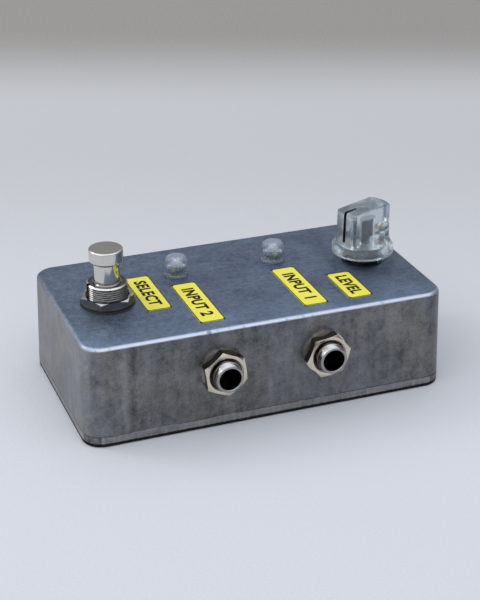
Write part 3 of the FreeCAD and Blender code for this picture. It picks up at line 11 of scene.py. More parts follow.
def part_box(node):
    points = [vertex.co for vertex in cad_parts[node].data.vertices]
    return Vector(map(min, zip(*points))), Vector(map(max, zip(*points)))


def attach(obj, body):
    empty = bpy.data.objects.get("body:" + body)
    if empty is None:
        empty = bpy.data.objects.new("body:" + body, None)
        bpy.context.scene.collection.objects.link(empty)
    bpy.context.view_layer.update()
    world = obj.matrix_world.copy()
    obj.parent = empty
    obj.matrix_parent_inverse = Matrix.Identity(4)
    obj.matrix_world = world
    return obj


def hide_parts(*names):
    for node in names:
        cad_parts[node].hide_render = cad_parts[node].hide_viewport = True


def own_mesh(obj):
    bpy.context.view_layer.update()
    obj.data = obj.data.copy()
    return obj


MM = 0.001

# Points of a CAD mesh closer than this are one point
SAME_POINT = 0.000002

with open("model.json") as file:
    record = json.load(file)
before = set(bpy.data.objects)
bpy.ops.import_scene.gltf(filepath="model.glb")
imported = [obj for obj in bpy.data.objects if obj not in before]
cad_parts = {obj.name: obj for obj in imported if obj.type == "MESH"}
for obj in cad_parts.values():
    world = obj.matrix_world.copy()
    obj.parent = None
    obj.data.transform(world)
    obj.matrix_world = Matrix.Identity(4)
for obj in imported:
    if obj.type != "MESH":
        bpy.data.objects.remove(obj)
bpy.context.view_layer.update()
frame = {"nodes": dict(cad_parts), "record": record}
box_low, box_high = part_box("enclosure_body")

# Marks on the box: a knock on the top edge above the jacks, and a pale and a dark streak down its
# front near the foot end
NICK = (-0.0192, box_low.y + 0.0009, box_high.z - 0.0004)
PALE_STREAK_X = -0.0447
DARK_STREAK_X = -0.0421

# The lid: how far its ground sides reach from its middle, how high the painted shade along its
# lower edge goes, and where the painted shade of the seam with the box starts
LID_FLAT_X = box_high.x - 0.0045
LID_FLAT_Y = box_high.y - 0.0045
LID_SHADE_EDGE_Z = 0.0011
LID_SEAM_Z = 0.0031

# The jacks, from the middle of the box: where their threads end in their nuts, where their mouths
# begin, and how much of the nose is polished round
THREAD_END_Y = 0.0331
MOUTH_Y = 0.0362
NOSE_ROUND = 0.0033

# Heights of the lamps: the rim and the top of the lenses, and the cloudy foot of the diodes
LENS_RIM_Z = 0.0318
LENS_TOP_Z = 0.0372
DIODE_FOOT_Z = 0.0262

# Inside each diode: where its post stands from the middle of the lens, and the cup on the post and
# the powder in it as (radius, height)
POST_OFFSETS = {"1": (0.0006, -0.0003), "2": (-0.0009, -0.0003)}
POST_FOOT_RISE = 0.0006
POST_RADIUS = 0.0002
POST_STEPS = 20
CUP = (
    (POST_RADIUS, 0.0310),
    (0.0008, 0.0319),
    (0.00085, 0.0325),
    (0.0007, 0.0325),
    (0.0005, 0.0320),
)
POWDER = (
    (0.0005, 0.03202),
    (0.00068, 0.0325),
    (0.00072, 0.0330),
    (0.00055, 0.0333),
    (0.0003, 0.0335),
)

# The bands on the resistors: height and colour
RESISTOR_BANDS = (
    (0.0130, (0.25, 0.08, 0.02)),
    (0.0142, (0.02, 0.02, 0.02)),
    (0.0164, (0.45, 0.03, 0.02)),
)

# The footswitch's bush, as in the part's own sizes, with its keyway, and its thread, which starts
# a little below the top of the nut
BUSH_RADIUS = 0.0060
BUSH_BORE = 0.00393
BUSH_CHAMBER = 0.0049
BUSH_CHAMBER_TOP = box_high.z + 0.0012
BUSH_SHOULDER = 0.0246
BUSH_BEVEL = 0.0004
BUSH_MOUTH_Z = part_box("footswitch_bush")[1].z - BUSH_BEVEL - 0.0001
KEYWAY_WIDTH = 0.0016
KEYWAY_DEPTH = 0.0008
THREAD_PITCH = 0.00065
THREAD_DEPTH = 0.00032
THREAD_BELOW_NUT_TOP = 0.0012
THREAD_ROWS = 64
BUSH_STEPS = 216

# The labels' print, in millimetres: its thickness, the frame's line with the radii of its outer
# and inner corners, and the tape that a word leaves free
PRINT_HEIGHT = 0.02
FRAME_INSET = 0.02
FRAME_LINE = 0.27
OUTER_CORNER = 0.2
INNER_CORNER = 0.9
WORD_MARGIN = 4.6

# The words: height of the capitals, also as a share of the letters' full size, the space between
# letters and how much fatter their strokes are made
CAPITAL_HEIGHT = 3.5
CAPITAL_SHARE = 0.70
LETTER_SPACE = 1.08
STROKE_GROWTH = 0.2

# The floor's size, the point of it below the camera, and the direction that the camera faces as
# seen from above
FLOOR_REACH = 4.0
FLOOR_SQUARES = 8
BELOW_CAMERA = (-0.1447, -0.3796)
AHEAD = (0.359, 0.933)


# Node trees: a wrapped socket with arithmetic, and one method that adds any node


class Value:
    """A socket of a node tree. Arithmetic on it adds Math nodes."""

    def __init__(self, nodes, socket):
        self.nodes = nodes
        self.socket = socket

    def maths(self, operation, *terms):
        """Adds a Math node with these terms."""
        sockets = dict(enumerate(terms))
        return self.nodes.add("ShaderNodeMath", {"operation": operation}, sockets)

    def __add__(self, other):
        return self.maths("ADD", self, other)

    def __radd__(self, other):
        return self.maths("ADD", other, self)

    def __sub__(self, other):
        return self.maths("SUBTRACT", self, other)

    def __rsub__(self, other):
        return self.maths("SUBTRACT", other, self)

    def __mul__(self, other):
        return self.maths("MULTIPLY", self, other)

    def __truediv__(self, other):
        return self.maths("DIVIDE", self, other)

    def __pow__(self, other):
        return self.maths("POWER", self, other)

    def __neg__(self):
        return self.maths("MULTIPLY", self, -1.0)

    def __abs__(self):
        return self.maths("ABSOLUTE", self)

    def __lt__(self, other):
        return self.maths("LESS_THAN", self, other)

    def __gt__(self, other):
        return self.maths("GREATER_THAN", self, other)


class Nodes:
    """A node tree, and the one way nodes are added to it."""

    def __init__(self, tree):
        self.tree = tree

    def parts_of(self, vector):
        """The x, y and z of a vector."""
        kind = "ShaderNodeSeparateXYZ"
        return tuple(self.add(kind, inputs={0: vector}, output=part) for part in range(3))

    def ramp(self, value, low, high, to_low=0.0, to_high=1.0):
        """Rises smoothly from to_low to to_high while value goes from low to high."""
        sockets = {"Value": value, 1: low, 2: high, 3: to_low, 4: to_high}
        return self.add("ShaderNodeMapRange", {"interpolation_type": "SMOOTHSTEP"}, sockets)

    def coloured(self, factor, first, second):
        """Mixes two colours."""
        sockets = {0: factor, 6: self.rgba(first), 7: self.rgba(second)}
        return self.add("ShaderNodeMix", {"data_type": "RGBA"}, sockets, output=2)

    @staticmethod
    def rgba(colour):
        """A colour as a socket takes it."""
        return colour if isinstance(colour, Value) else (*colour, 1.0)

    def add(self, kind, settings=None, inputs=None, output=0):
        """Adds a node: first its settings, then the values or links of its sockets."""
        node = self.tree.nodes.new(kind)
        for name, setting in (settings or {}).items():
            setattr(node, name, setting)
        for name, value in (inputs or {}).items():
            if isinstance(value, Value):
                self.tree.links.new(value.socket, node.inputs[name])
            else:
                node.inputs[name].default_value = value
        return Value(self, node.outputs[output]) if node.outputs else node


class Finish(Nodes):
    """A material, with the patterns that the finishes of this pedal are made of."""

    def __init__(self, name):
        self.material = bpy.data.materials.new(name)
        self.material.use_nodes = True
        super().__init__(self.material.node_tree)
        self.tree.nodes.clear()
        self.place = self.add("ShaderNodeTexCoord", output="Object")
        self.facing = self.add("ShaderNodeTexCoord", output="Normal")
        self.x, self.y, self.z = self.parts_of(self.place)
        self.facing_x, self.facing_y, self.facing_z = self.parts_of(self.facing)

    def stretched(self, scale):
        """The object's coordinates, scaled by axis."""
        return self.add("ShaderNodeMapping", inputs={"Vector": self.place, "Scale": scale})

    def speckle(self, per_metre, detail=2.0, roughness=0.5, place=None):
        """Noise from 0 to 1 about a middle of 0.5."""
        sockets = {"Vector": place or self.place, "Scale": per_metre}
        sockets.update({"Detail": detail, "Roughness": roughness})
        return self.add("ShaderNodeTexNoise", {"noise_dimensions": "3D"}, sockets)

    def cells(self, per_metre):
        """Distance to the nearest of scattered points."""
        return self.add("ShaderNodeTexVoronoi", inputs={"Vector": self.place, "Scale": per_metre})

    def streak(self, middle, wander, width):
        """An upright streak of uneven outline at a place along x."""
        return self.ramp(abs(self.x - middle + wander), 0.0003, width, 1.0, 0.0)

    def limited(self, value):
        """Kept from 0 to 1."""
        return self.add("ShaderNodeClamp", inputs={0: value})

    def bumps(self, height, depth, strength=1.0, under=None):
        """A normal from a height of 0 to 1, which stands for depth metres."""
        sockets = {"Height": height, "Distance": depth, "Strength": strength}
        if under:
            sockets["Normal"] = under
        return self.add("ShaderNodeBump", inputs=sockets)

    def surface(self, colour, roughness, normal=None, **constants):
        """Adds a surface shader."""
        sockets = {"Base Color": self.rgba(colour), "Roughness": roughness}
        if normal:
            sockets["Normal"] = normal
        sockets.update({name.replace("_", " "): value for name, value in constants.items()})
        return self.add("ShaderNodeBsdfPrincipled", inputs=sockets)

    def close(self, surface):
        """Puts the surface on the material and returns the material."""
        self.add("ShaderNodeOutputMaterial", inputs={"Surface": surface})
        return self.material

    def finish(self, colour, roughness, normal=None, **constants):
        """Adds the surface shader and returns the material."""
        return self.close(self.surface(colour, roughness, normal, **constants))


class Shape(Nodes):
    """A Geometry Nodes tree with named sizes."""

    def __init__(self, name):
        super().__init__(bpy.data.node_groups.new(name, "GeometryNodeTree"))
        self.sizes = {}
        for label, direction in (("Result", "OUTPUT"), ("Blank", "INPUT")):
            self.socket(label, direction, "NodeSocketGeometry")
        self.entry = self.tree.nodes.new("NodeGroupInput")
        self.blank = Value(self, self.entry.outputs["Blank"])

    def socket(self, name, direction, kind):
        """An input or output of the tree."""
        return self.tree.interface.new_socket(name=name, in_out=direction, socket_type=kind)

    def size(self, name):
        """A named size, as an input of the tree."""
        self.sizes[name] = self.socket(name, "INPUT", "NodeSocketFloat").identifier
        return Value(self, self.entry.outputs[name])

    def close(self, geometry, material):
        """Ends the tree with plain geometry of one material."""
        real = self.add("GeometryNodeRealizeInstances", inputs={0: geometry})
        sockets = {"Geometry": real, "Material": material}
        self.add("NodeGroupOutput", inputs={0: self.add("GeometryNodeSetMaterial", inputs=sockets)})

    def made(self, name, blank, sizes):
        """The tree's result on a blank mesh, as a plain mesh."""
        holder = bpy.data.objects.new(name, blank)
        bpy.context.scene.collection.objects.link(holder)
        modifier = holder.modifiers.new(name, "NODES")
        modifier.node_group = self.tree
        for label, value in sizes.items():
            modifier[self.sizes[label]] = value
        return mesh_of(holder)


def mesh_of(holder):
    """An object's evaluated mesh. The object itself is removed."""
    bpy.context.view_layer.update()
    scene_now = bpy.context.evaluated_depsgraph_get()
    mesh = bpy.data.meshes.new_from_object(holder.evaluated_get(scene_now))
    bpy.data.objects.remove(holder)
    return mesh


# Finishes


def cast_aluminium():
    """The bare die-cast box: dull, smudged and mottled, with painted light on its top, its top edge
    and its sides.
    """
    f = Finish("cast_aluminium")
    side = f.ramp(abs(f.facing_z), 0.3, 0.75, 1.0, 0.0)
    front = f.ramp(-f.facing_y, 0.5, 0.9)
    grain = f.speckle(2300.0, 3.0, 0.7)
    mottle = f.speckle(720.0, 4.0, 0.66)
    cloud = f.speckle(230.0, 3.0, 0.6, f.stretched((1.0, 1.0, 0.75)))
    smudge = f.speckle(80.0, 4.0, 0.62)
    flow = f.speckle(1.0, 3.0, 0.55, f.stretched((360.0, 360.0, 30.0)))
    wiped = f.speckle(1.0, 4.0, 0.7, f.stretched((110.0, 1300.0, 110.0)))
    # Rounded edge between the top and the sides: partly polished by handling, partly a painted
    # highlight, brightest in front and fainter at the foot end and the back
    edge = f.ramp(f.facing_z, 0.18, 0.5) * f.ramp(f.facing_z, 0.86, 0.985, 1.0, 0.0)
    edge = edge * f.ramp(f.x, -0.0545, -0.0505, 0.28, 1.0) * f.ramp(f.y, 0.0, 0.022, 1.0, 0.15)
    dent = f.ramp(f.speckle(430.0, 2.0, 0.5), 0.61, 0.68)
    places = {0: f.place, 1: NICK}
    from_nick = f.add("ShaderNodeVectorMath", {"operation": "DISTANCE"}, places, output="Value")
    nick = f.ramp(from_nick + (mottle - 0.5) * 0.0008, 0.0005, 0.0010, 1.0, 0.0)
    painted_highlight = f.limited(edge * (1.0 - dent * 0.35) - nick * 0.75)
    pale_streak = f.streak(PALE_STREAK_X, (cloud - 0.5) * 0.003, 0.0012) * front
    dark_streak = f.streak(DARK_STREAK_X, (cloud - 0.5) * 0.004, 0.0014) * front
    # Painted light on the top: lighter and bluer towards the front, and darker towards the knob
    top = 1.0 - side
    painted_top_light = f.ramp(f.y, -0.029, -0.008, 1.0, 0.0)
    lit_foot_end = f.ramp(-f.facing_x, 0.5, 0.9)
    shade = (
        0.54
        + (mottle - 0.5) * (1.0 - side * 0.4)
        + (grain - 0.5) * (0.75 - side * 0.15)
        + (cloud - 0.5) * (0.35 + side * 0.25)
        + (smudge - 0.5) * 0.8
        + (flow - 0.5) * (0.2 + front * 0.2) * side
        + (wiped - 0.5) * 0.5 * top
        + pale_streak * 0.16
        - dark_streak * 0.16
        + painted_top_light * 0.2 * top
        - f.ramp(f.x, 0.012, 0.05) * 0.1 * top
        # Painted shade and light: the front darker, the right end of the front a little lighter,
        # and the foot end lighter
        - front * 0.11
        + f.ramp(f.x, 0.02, 0.05) * 0.05 * front
        + lit_foot_end * 0.09
    )
    shade = f.limited(shade)
    # The top's colour is bluer than the sides': partly the metal's own tint, partly a painted
    # reflection of the sky
    bright_top = f.coloured(painted_top_light, (0.213, 0.267, 0.36), (0.218, 0.29, 0.40))
    top_colour = f.coloured(shade, (0.048, 0.066, 0.096), bright_top)
    # The sides turn a little bluer or browner in broad patches
    hue = f.ramp(f.speckle(55.0, 3.0, 0.6, f.stretched((1.4, 1.4, 0.7))), 0.35, 0.65)
    bright_side = f.coloured(hue, (0.345, 0.343, 0.318), (0.318, 0.332, 0.358))
    side_colour = f.coloured(shade, (0.036, 0.039, 0.042), bright_side)
    colour = f.coloured(side, top_colour, side_colour)
    # Small dark pits and small bright nicks, here and there
    pit = f.ramp(f.cells(520.0), 0.10, 0.17, 1.0, 0.0) * f.ramp(f.speckle(160.0), 0.52, 0.62)
    colour = f.coloured(pit * 0.4, colour, (0.05, 0.05, 0.053))
    speck = f.ramp(f.cells(390.0), 0.04, 0.09, 1.0, 0.0) * f.ramp(f.speckle(120.0), 0.55, 0.62)
    colour = f.coloured(speck * 0.4, colour, (0.46, 0.47, 0.48))
    # Painted highlight along the rounded top edge, in a pale bluish colour, partly real wear
    colour = f.coloured(painted_highlight * 0.75, colour, (0.58, 0.615, 0.69))
    rough = 0.42 + (mottle - 0.5) * 0.25 + (smudge - 0.5) * 0.2 + pit * 0.2 - painted_highlight * 0.08
    height = grain * 0.5 + mottle * 0.9 + flow * side * 0.4 - pit * 0.5 - nick * 3.0
    normal = f.bumps(height, 0.00005, 0.5)
    return f.finish(colour, f.limited(rough), normal, Metallic=0.9)


def lid_aluminium():
    """The cast lid: its long sides are ground pale and its corners stay dark; painted shade darkens
    its lower edge and the seam with the box.
    """
    f = Finish("lid_aluminium")
    along = f.speckle(1.0, 3.0, 0.6, f.stretched((90.0, 90.0, 5200.0)))
    across = f.speckle(1.0, 2.0, 0.6, f.stretched((900.0, 900.0, 60.0)))
    mottle = f.speckle(800.0, 4.0, 0.6)
    smudge = f.speckle(110.0, 3.0, 0.6)
    under = f.ramp(f.facing_z, -0.85, -0.55, 1.0, 0.0)
    height = f.z + (across - 0.5) * 0.0004
    # Painted shade along the lid's lower edge, where it meets the floor
    painted_low_shade = f.ramp(height, LID_SHADE_EDGE_Z, LID_SHADE_EDGE_Z + 0.0003, 1.0, 0.0) * (1.0 - under)
    # Painted shade along the seam between the lid and the box
    seam_shade = f.ramp(f.z, LID_SEAM_Z, LID_SEAM_Z + 0.0003) * f.ramp(smudge, 0.36, 0.5)
    ground = f.ramp(abs(f.x), LID_FLAT_X, LID_FLAT_X + 0.0003, 1.0, 0.0)
    ground = ground + f.ramp(abs(f.y), LID_FLAT_Y, LID_FLAT_Y + 0.0003, 1.0, 0.0)
    ground = f.limited(ground)
    shade = 0.14 + ground * 0.3 + (along - 0.5) * 0.45 + (across - 0.5) * 0.4
    shade = f.limited(shade + (mottle - 0.5) * 0.5 + (smudge - 0.5) * 0.4)
    colour = f.coloured(shade, (0.06, 0.062, 0.065), (0.56, 0.56, 0.565))
    colour = f.coloured(painted_low_shade * 0.95, colour, (0.010, 0.010, 0.011))
    colour = f.coloured(seam_shade * 0.85, colour, (0.022, 0.025, 0.042))
    normal = f.bumps(along * 0.5 + mottle * 0.5, 0.00004, 0.5)
    rough = f.limited(0.44 + (mottle - 0.5) * 0.3 + painted_low_shade * 0.4)
    return f.finish(colour, rough, normal, Metallic=0.9)


def plated(name, light, dark, roughness, amount=0.3):
    """Bright plating with a faint haze, fine marks and small dull spots."""
    f = Finish(name)
    haze = f.speckle(300.0, 3.0, 0.6)
    marks = f.speckle(1.0, 2.0, 0.7, f.stretched((700.0, 700.0, 6000.0)))
    spots = f.ramp(f.speckle(1500.0, 2.0, 0.6), 0.66, 0.76)
    shade = f.limited(0.75 + (haze - 0.5) * amount * 1.6 + (marks - 0.5) * amount * 0.6)
    colour = f.coloured(shade, dark, light)
    colour = f.coloured(spots * amount * 0.5, colour, dark)
    rough = f.limited(roughness + (haze - 0.5) * 0.08 + spots * 0.06)
    normal = f.bumps(marks * 0.5 + haze * 0.5, 0.000004, 0.3)
    return f.finish(colour, rough, normal, Metallic=1.0)


def jack_chrome():
    """Chrome on a jack's nose, with a brownish painted shade where its thread ends down in the nut.
    """
    f = Finish("jack_chrome")
    haze = f.speckle(420.0, 3.0, 0.6)
    marks = f.speckle(1.0, 2.0, 0.7, f.stretched((3000.0, 400.0, 3000.0)))
    along = abs(f.y) + (haze - 0.5) * 0.0004
    recess_shade = f.ramp(along, THREAD_END_Y - 0.0001, THREAD_END_Y + 0.0004, 1.0, 0.0)
    # Painted dark reflection on the side towards the foot end
    dull = f.ramp(-f.facing_x, 0.1, 0.8) * f.ramp(abs(f.y), MOUTH_Y - 0.0010, MOUTH_Y, 1.0, 0.3)
    shade = f.limited(0.75 + (haze - 0.5) * 0.5 + (marks - 0.5) * 0.2 - dull * 0.75)
    colour = f.coloured(shade, (0.17, 0.155, 0.14), (0.74, 0.75, 0.77))
    # Painted shade, brownish, where the thread ends down in the nut
    colour = f.coloured(recess_shade * 0.85, colour, (0.07, 0.048, 0.028))
    mouth = f.ramp(abs(f.y) + (haze - 0.5) * 0.0003, MOUTH_Y, MOUTH_Y + 0.0006)
    mouth = mouth * f.ramp(abs(f.facing_y), 0.3, 0.8)
    colour = f.coloured(mouth * 0.6, colour, (0.16, 0.15, 0.14))
    rough = f.limited(0.07 + (haze - 0.5) * 0.06 + recess_shade * 0.3)
    # The nose is polished round towards its mouth
    out = abs(f.y) - THREAD_END_Y
    out = out.maths("MINIMUM", out, NOSE_ROUND) / MM
    polished = f.bumps(out * out, -0.00005)
    return f.finish(colour, rough, f.bumps(haze, 0.000006, 0.3, polished), Metallic=1.0)


def jack_nickel():
    """Nickel on a jack's nut: clean in front, with a dark reflection painted on its sides."""
    f = Finish("jack_nickel")
    haze = f.speckle(420.0, 3.0, 0.6)
    side_dark_reflection = f.ramp(abs(f.facing_y) + (haze - 0.5) * 0.3, 0.35, 0.8, 1.0, 0.0)
    shade = f.limited(0.7 + (haze - 0.5) * 0.8)
    colour = f.coloured(shade, (0.46, 0.41, 0.32), (0.75, 0.68, 0.55))
    # Painted dark reflection on the nut's side faces
    colour = f.coloured(side_dark_reflection * 0.92, colour, (0.032, 0.028, 0.022))
    rough = f.limited(0.11 + (haze - 0.5) * 0.08 + side_dark_reflection * 0.1)
    return f.finish(colour, rough, f.bumps(haze, 0.000006, 0.3), Metallic=1.0)


def dark_nickel(name, base_shade, amount):
    """Nickel round the footswitch, made dark as painted shade, with small dark spots, and painted
    highlights where it faces up and at the bush's mouth.
    """
    f = Finish(name)
    haze = f.speckle(380.0, 3.0, 0.6)
    spots = f.ramp(f.speckle(1500.0, 2.0, 0.6), 0.62, 0.74)
    # Painted highlights where the metal faces up, and on the bevel at the bush's mouth
    painted_highlight = f.ramp(f.facing_z + (haze - 0.5) * 0.3, 0.2, 0.7)
    bevel = f.ramp(f.z, BUSH_MOUTH_Z, BUSH_MOUTH_Z + 0.0002)
    bevel = bevel * f.ramp(f.facing_z, 0.8, 0.95, 1.0, 0.0)
    shade = f.limited(base_shade + painted_highlight * amount + bevel * 0.8 + (haze - 0.5) * 0.2)
    colour = f.coloured(shade, (0.04, 0.04, 0.037), (0.60, 0.59, 0.56))
    colour = f.coloured(spots * 0.4, colour, (0.06, 0.06, 0.055))
    rough = f.limited(0.12 + (haze - 0.5) * 0.1 + spots * 0.1)
    return f.finish(colour, rough, f.bumps(haze, 0.000006, 0.3), Metallic=1.0)


def worked_metal(name, light, dark, roughness, direction=(1.0, 1.0, 1.0)):
    """Rolled, drawn or stamped metal inside the box."""
    f = Finish(name)
    grain = f.speckle(1.0, 3.0, 0.6, f.stretched(tuple(1600.0 * d for d in direction)))
    stain = f.speckle(260.0, 3.0, 0.6)
    shade = f.limited(0.6 + (grain - 0.5) * 0.7 + (stain - 0.5) * 0.7)
    colour = f.coloured(shade, dark, light)
    rough = f.limited(roughness + (grain - 0.5) * 0.2 + (stain - 0.5) * 0.15)
    return f.finish(colour, rough, f.bumps(grain, 0.00002, 0.5), Metallic=1.0)


def moulded(name, light, dark, roughness, per_metre=1500.0, **constants):
    """Moulded plastic or rubber with a fine surface grain."""
    f = Finish(name)
    grain = f.speckle(per_metre, 3.0, 0.6)
    sweep = f.speckle(180.0, 2.0, 0.5)
    shade = f.limited(0.5 + (grain - 0.5) * 0.5 + (sweep - 0.5) * 0.9)
    colour = f.coloured(shade, dark, light)
    rough = f.limited(roughness + (grain - 0.5) * 0.2 + (sweep - 0.5) * 0.15)
    return f.finish(colour, rough, f.bumps(grain, 0.00002, 0.5), **constants)


def label_tape():
    """Laminated yellow tape: slightly uneven colour and a soft gloss."""
    f = Finish("label_tape")
    sweep = f.speckle(170.0, 2.0, 0.5)
    weave = f.speckle(2400.0, 2.0, 0.6)
    shade = f.limited(0.55 + (sweep - 0.5) * 0.8 + (weave - 0.5) * 0.25)
    colour = f.coloured(shade, (0.68, 0.60, 0.03), (0.81, 0.745, 0.06))
    rough = f.limited(0.42 + (sweep - 0.5) * 0.2)
    normal = f.bumps(weave * 0.4 + sweep * 0.6, 0.00002, 0.4)
    return f.finish(colour, rough, normal, Coat_Weight=0.3, Coat_Roughness=0.25)


def label_print():
    """Black print on the tape, a little greyer where it is thin."""
    f = Finish("label_print")
    thin = f.ramp(f.speckle(3200.0, 2.0, 0.6), 0.5, 0.75)
    colour = f.coloured(thin * 0.6, (0.004, 0.004, 0.004), (0.02, 0.019, 0.012))
    return f.finish(colour, f.limited(0.5 + thin * 0.2), Specular_IOR_Level=0.15)


def clear_plastic():
    """The knob's clear moulded plastic, with faint flow lines and fine scratches."""
    f = Finish("clear_plastic")
    flow = f.speckle(1.0, 2.0, 0.5, f.stretched((420.0, 420.0, 40.0)))
    scratch = f.ramp(f.speckle(1.0, 2.0, 0.7, f.stretched((500.0, 2600.0, 900.0))), 0.6, 0.72)
    milky = f.limited(0.35 + (flow - 0.5) * 1.2)
    colour = f.coloured(milky, (0.80, 0.87, 0.90), (0.46, 0.53, 0.58))
    rough = f.limited(0.18 + scratch * 0.1 + (flow - 0.5) * 0.04)
    normal = f.bumps(flow * 0.7 + scratch * 0.3, 0.00004, 0.35)
    return f.finish(colour, rough, normal, Transmission_Weight=0.92, IOR=1.32)


def lens_plastic():
    """The clear lamp lenses, rubbed dull on top and at the rim."""
    f = Finish("lens_plastic")
    cloud = f.speckle(500.0, 3.0, 0.6)
    rough = f.limited(0.27 + (cloud - 0.5) * 0.1)
    colour = f.coloured(cloud, (0.72, 0.78, 0.86), (0.62, 0.68, 0.76))
    clear = f.surface(colour, rough, Transmission_Weight=1.0, IOR=1.25)
    rubbed = f.surface((0.66, 0.72, 0.80), rough + 0.5)
    height = f.z + (cloud - 0.5) * 0.002
    dull = f.ramp(height, LENS_TOP_Z - 0.0037, LENS_TOP_Z, 0.04, 0.22)
    dull = dull + f.ramp(f.z, LENS_RIM_Z, LENS_RIM_Z + 0.0010, 0.14, 0.0)
    return f.close(f.add("ShaderNodeMixShader", inputs={0: f.limited(dull), 1: clear, 2: rubbed}))


def led_resin():
    """Water-clear resin, a little cloudy towards its foot."""
    f = Finish("led_resin")
    cloud = f.speckle(900.0, 2.0, 0.5)
    colour = f.coloured(cloud, (0.86, 0.88, 0.84), (0.95, 0.96, 0.95))
    foot = f.ramp(f.z, DIODE_FOOT_Z, DIODE_FOOT_Z + 0.0013, 1.0, 0.0)
    colour = f.coloured(foot * 0.5, colour, (0.62, 0.64, 0.60))
    rough = f.limited(0.15 + foot * 0.1 + (cloud - 0.5) * 0.06)
    return f.finish(colour, rough, Transmission_Weight=0.9, IOR=1.08)


def chip_yellow():
    """The yellow powder over a lamp's chip."""
    f = Finish("chip_yellow")
    powder = f.speckle(5200.0, 3.0, 0.6)
    colour = f.coloured(powder, (0.46, 0.46, 0.03), (0.66, 0.67, 0.12))
    return f.finish(colour, f.limited(0.6 + (powder - 0.5) * 0.3), f.bumps(powder, 0.00003, 0.6))


def resistor_coat():
    """Buff lacquer with plain bands round the body."""
    f = Finish("resistor_coat")
    cloud = f.speckle(1800.0, 2.0, 0.5)
    colour = f.coloured(cloud, (0.55, 0.40, 0.22), (0.70, 0.55, 0.34))
    for height, band in RESISTOR_BANDS:
        ring = f.ramp(abs(f.z - height), 0.00025, 0.00035, 1.0, 0.0)
        colour = f.coloured(ring, colour, band)
    return f.finish(colour, f.limited(0.35 + (cloud - 0.5) * 0.2), f.bumps(cloud, 0.00002, 0.4))


# Kinds of finish by name: light and dark colour, roughness and what else the kind takes
PLATED = {
    "screw_steel": ((0.62, 0.62, 0.60), (0.33, 0.33, 0.32), 0.32, 0.35),
    "chrome_plate": ((0.69, 0.675, 0.62), (0.48, 0.465, 0.42), 0.09, 0.22),
    "warm_nickel": ((0.70, 0.65, 0.555), (0.44, 0.40, 0.33), 0.11, 0.25),
}
WORKED = {
    "spring_steel": ((0.62, 0.61, 0.58), (0.38, 0.37, 0.35), 0.28, (1, 1, 4)),
    "zinc_steel": ((0.66, 0.67, 0.66), (0.42, 0.43, 0.43), 0.36, (0.2, 2, 2)),
    "tinned_brass": ((0.66, 0.64, 0.58), (0.42, 0.40, 0.34), 0.3),
    "contact_metal": ((0.72, 0.55, 0.36), (0.48, 0.34, 0.2), 0.26, (3, 0.3, 1)),
    "shaft_aluminium": ((0.16, 0.18, 0.19), (0.04, 0.048, 0.052), 0.3, (1, 1, 5)),
    # Near black for the nut and washer under the knob, standing for the shade there
    "blackened_steel": ((0.07, 0.07, 0.075), (0.02, 0.02, 0.022), 0.3),
    "brass": ((0.76, 0.56, 0.24), (0.46, 0.31, 0.1), 0.28),
}
MOULDED = {
    "seal_rubber": ((0.03, 0.03, 0.03), (0.012, 0.012, 0.012), 0.65, 2200.0),
    "dark_moulding": ((0.09, 0.035, 0.02), (0.045, 0.016, 0.01), 0.5),
    "black_plastic": ((0.026, 0.026, 0.028), (0.012, 0.012, 0.013), 0.42),
    "brown_board": ((0.26, 0.13, 0.055), (0.15, 0.07, 0.028), 0.55, 2600.0),
    "wire_white": ((0.78, 0.77, 0.72), (0.62, 0.61, 0.56), 0.38, 1200.0),
    "wire_red": ((0.55, 0.022, 0.015), (0.36, 0.012, 0.01), 0.36, 1200.0),
    "wire_black": ((0.02, 0.02, 0.021), (0.009, 0.009, 0.01), 0.36, 1200.0),
}
NYLON = ((0.80, 0.79, 0.74), (0.66, 0.65, 0.59), 0.5)
INK = ((0.003, 0.003, 0.003), (0.001, 0.001, 0.001), 0.6)

# The finish of each material slot in the record
FINISHES = {
    "cast_aluminium": cast_aluminium(),
    "lid_aluminium": lid_aluminium(),
    "label_tape": label_tape(),
    "clear_plastic": clear_plastic(),
    "led_resin": led_resin(),
    "resistor_coat": resistor_coat(),
    "white_nylon": moulded("white_nylon", *NYLON, Subsurface_Weight=0.1),
    "pointer_black": moulded("pointer_black", *INK, Specular_IOR_Level=0.05),
}
for kind, rows in ((plated, PLATED), (worked_metal, WORKED), (moulded, MOULDED)):
    FINISHES.update({name: kind(name, *numbers) for name, numbers in rows.items()})
PRINT = label_print()
CHIP = chip_yellow()
LENS = lens_plastic()

# Nodes that look different from the rest of their slot: the jacks' noses are whiter than their
# nuts, and the footswitch's bush, nut and washer are darker than its cap, as painted shade
NOSE = jack_chrome()
DARK_NICKEL = dark_nickel("dark_nickel", 0.03, 0.12)
OWN_FINISHES = {
    "footswitch_bush": DARK_NICKEL,
    "footswitch_nut": dark_nickel("worn_nickel", 0.3, 0.5),
    "footswitch_washer": dark_nickel("dull_nickel", 0.1, 0.2),
    "jack_nuts": jack_nickel(),
    "input_1_jack_body": NOSE,
    "input_2_jack_body": NOSE,
    "output_jack_body": NOSE,
}

SLOTS = {row["node"]: row["material_slot"] for row in frame["record"]["subparts"]}
for node, slot_name in SLOTS.items():
    for place in frame["nodes"][node].material_slots:
        place.material = OWN_FINISHES.get(node, FINISHES[slot_name])


# Pieces


def new_piece(name, mesh, finish, body):
    """A mesh with its place in it, riding on a body."""
    mesh.name = name
    piece = bpy.data.objects.new(name, mesh)
    bpy.context.scene.collection.objects.link(piece)
    mesh.materials.clear()
    mesh.materials.append(finish)
    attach(piece, body)
    return piece


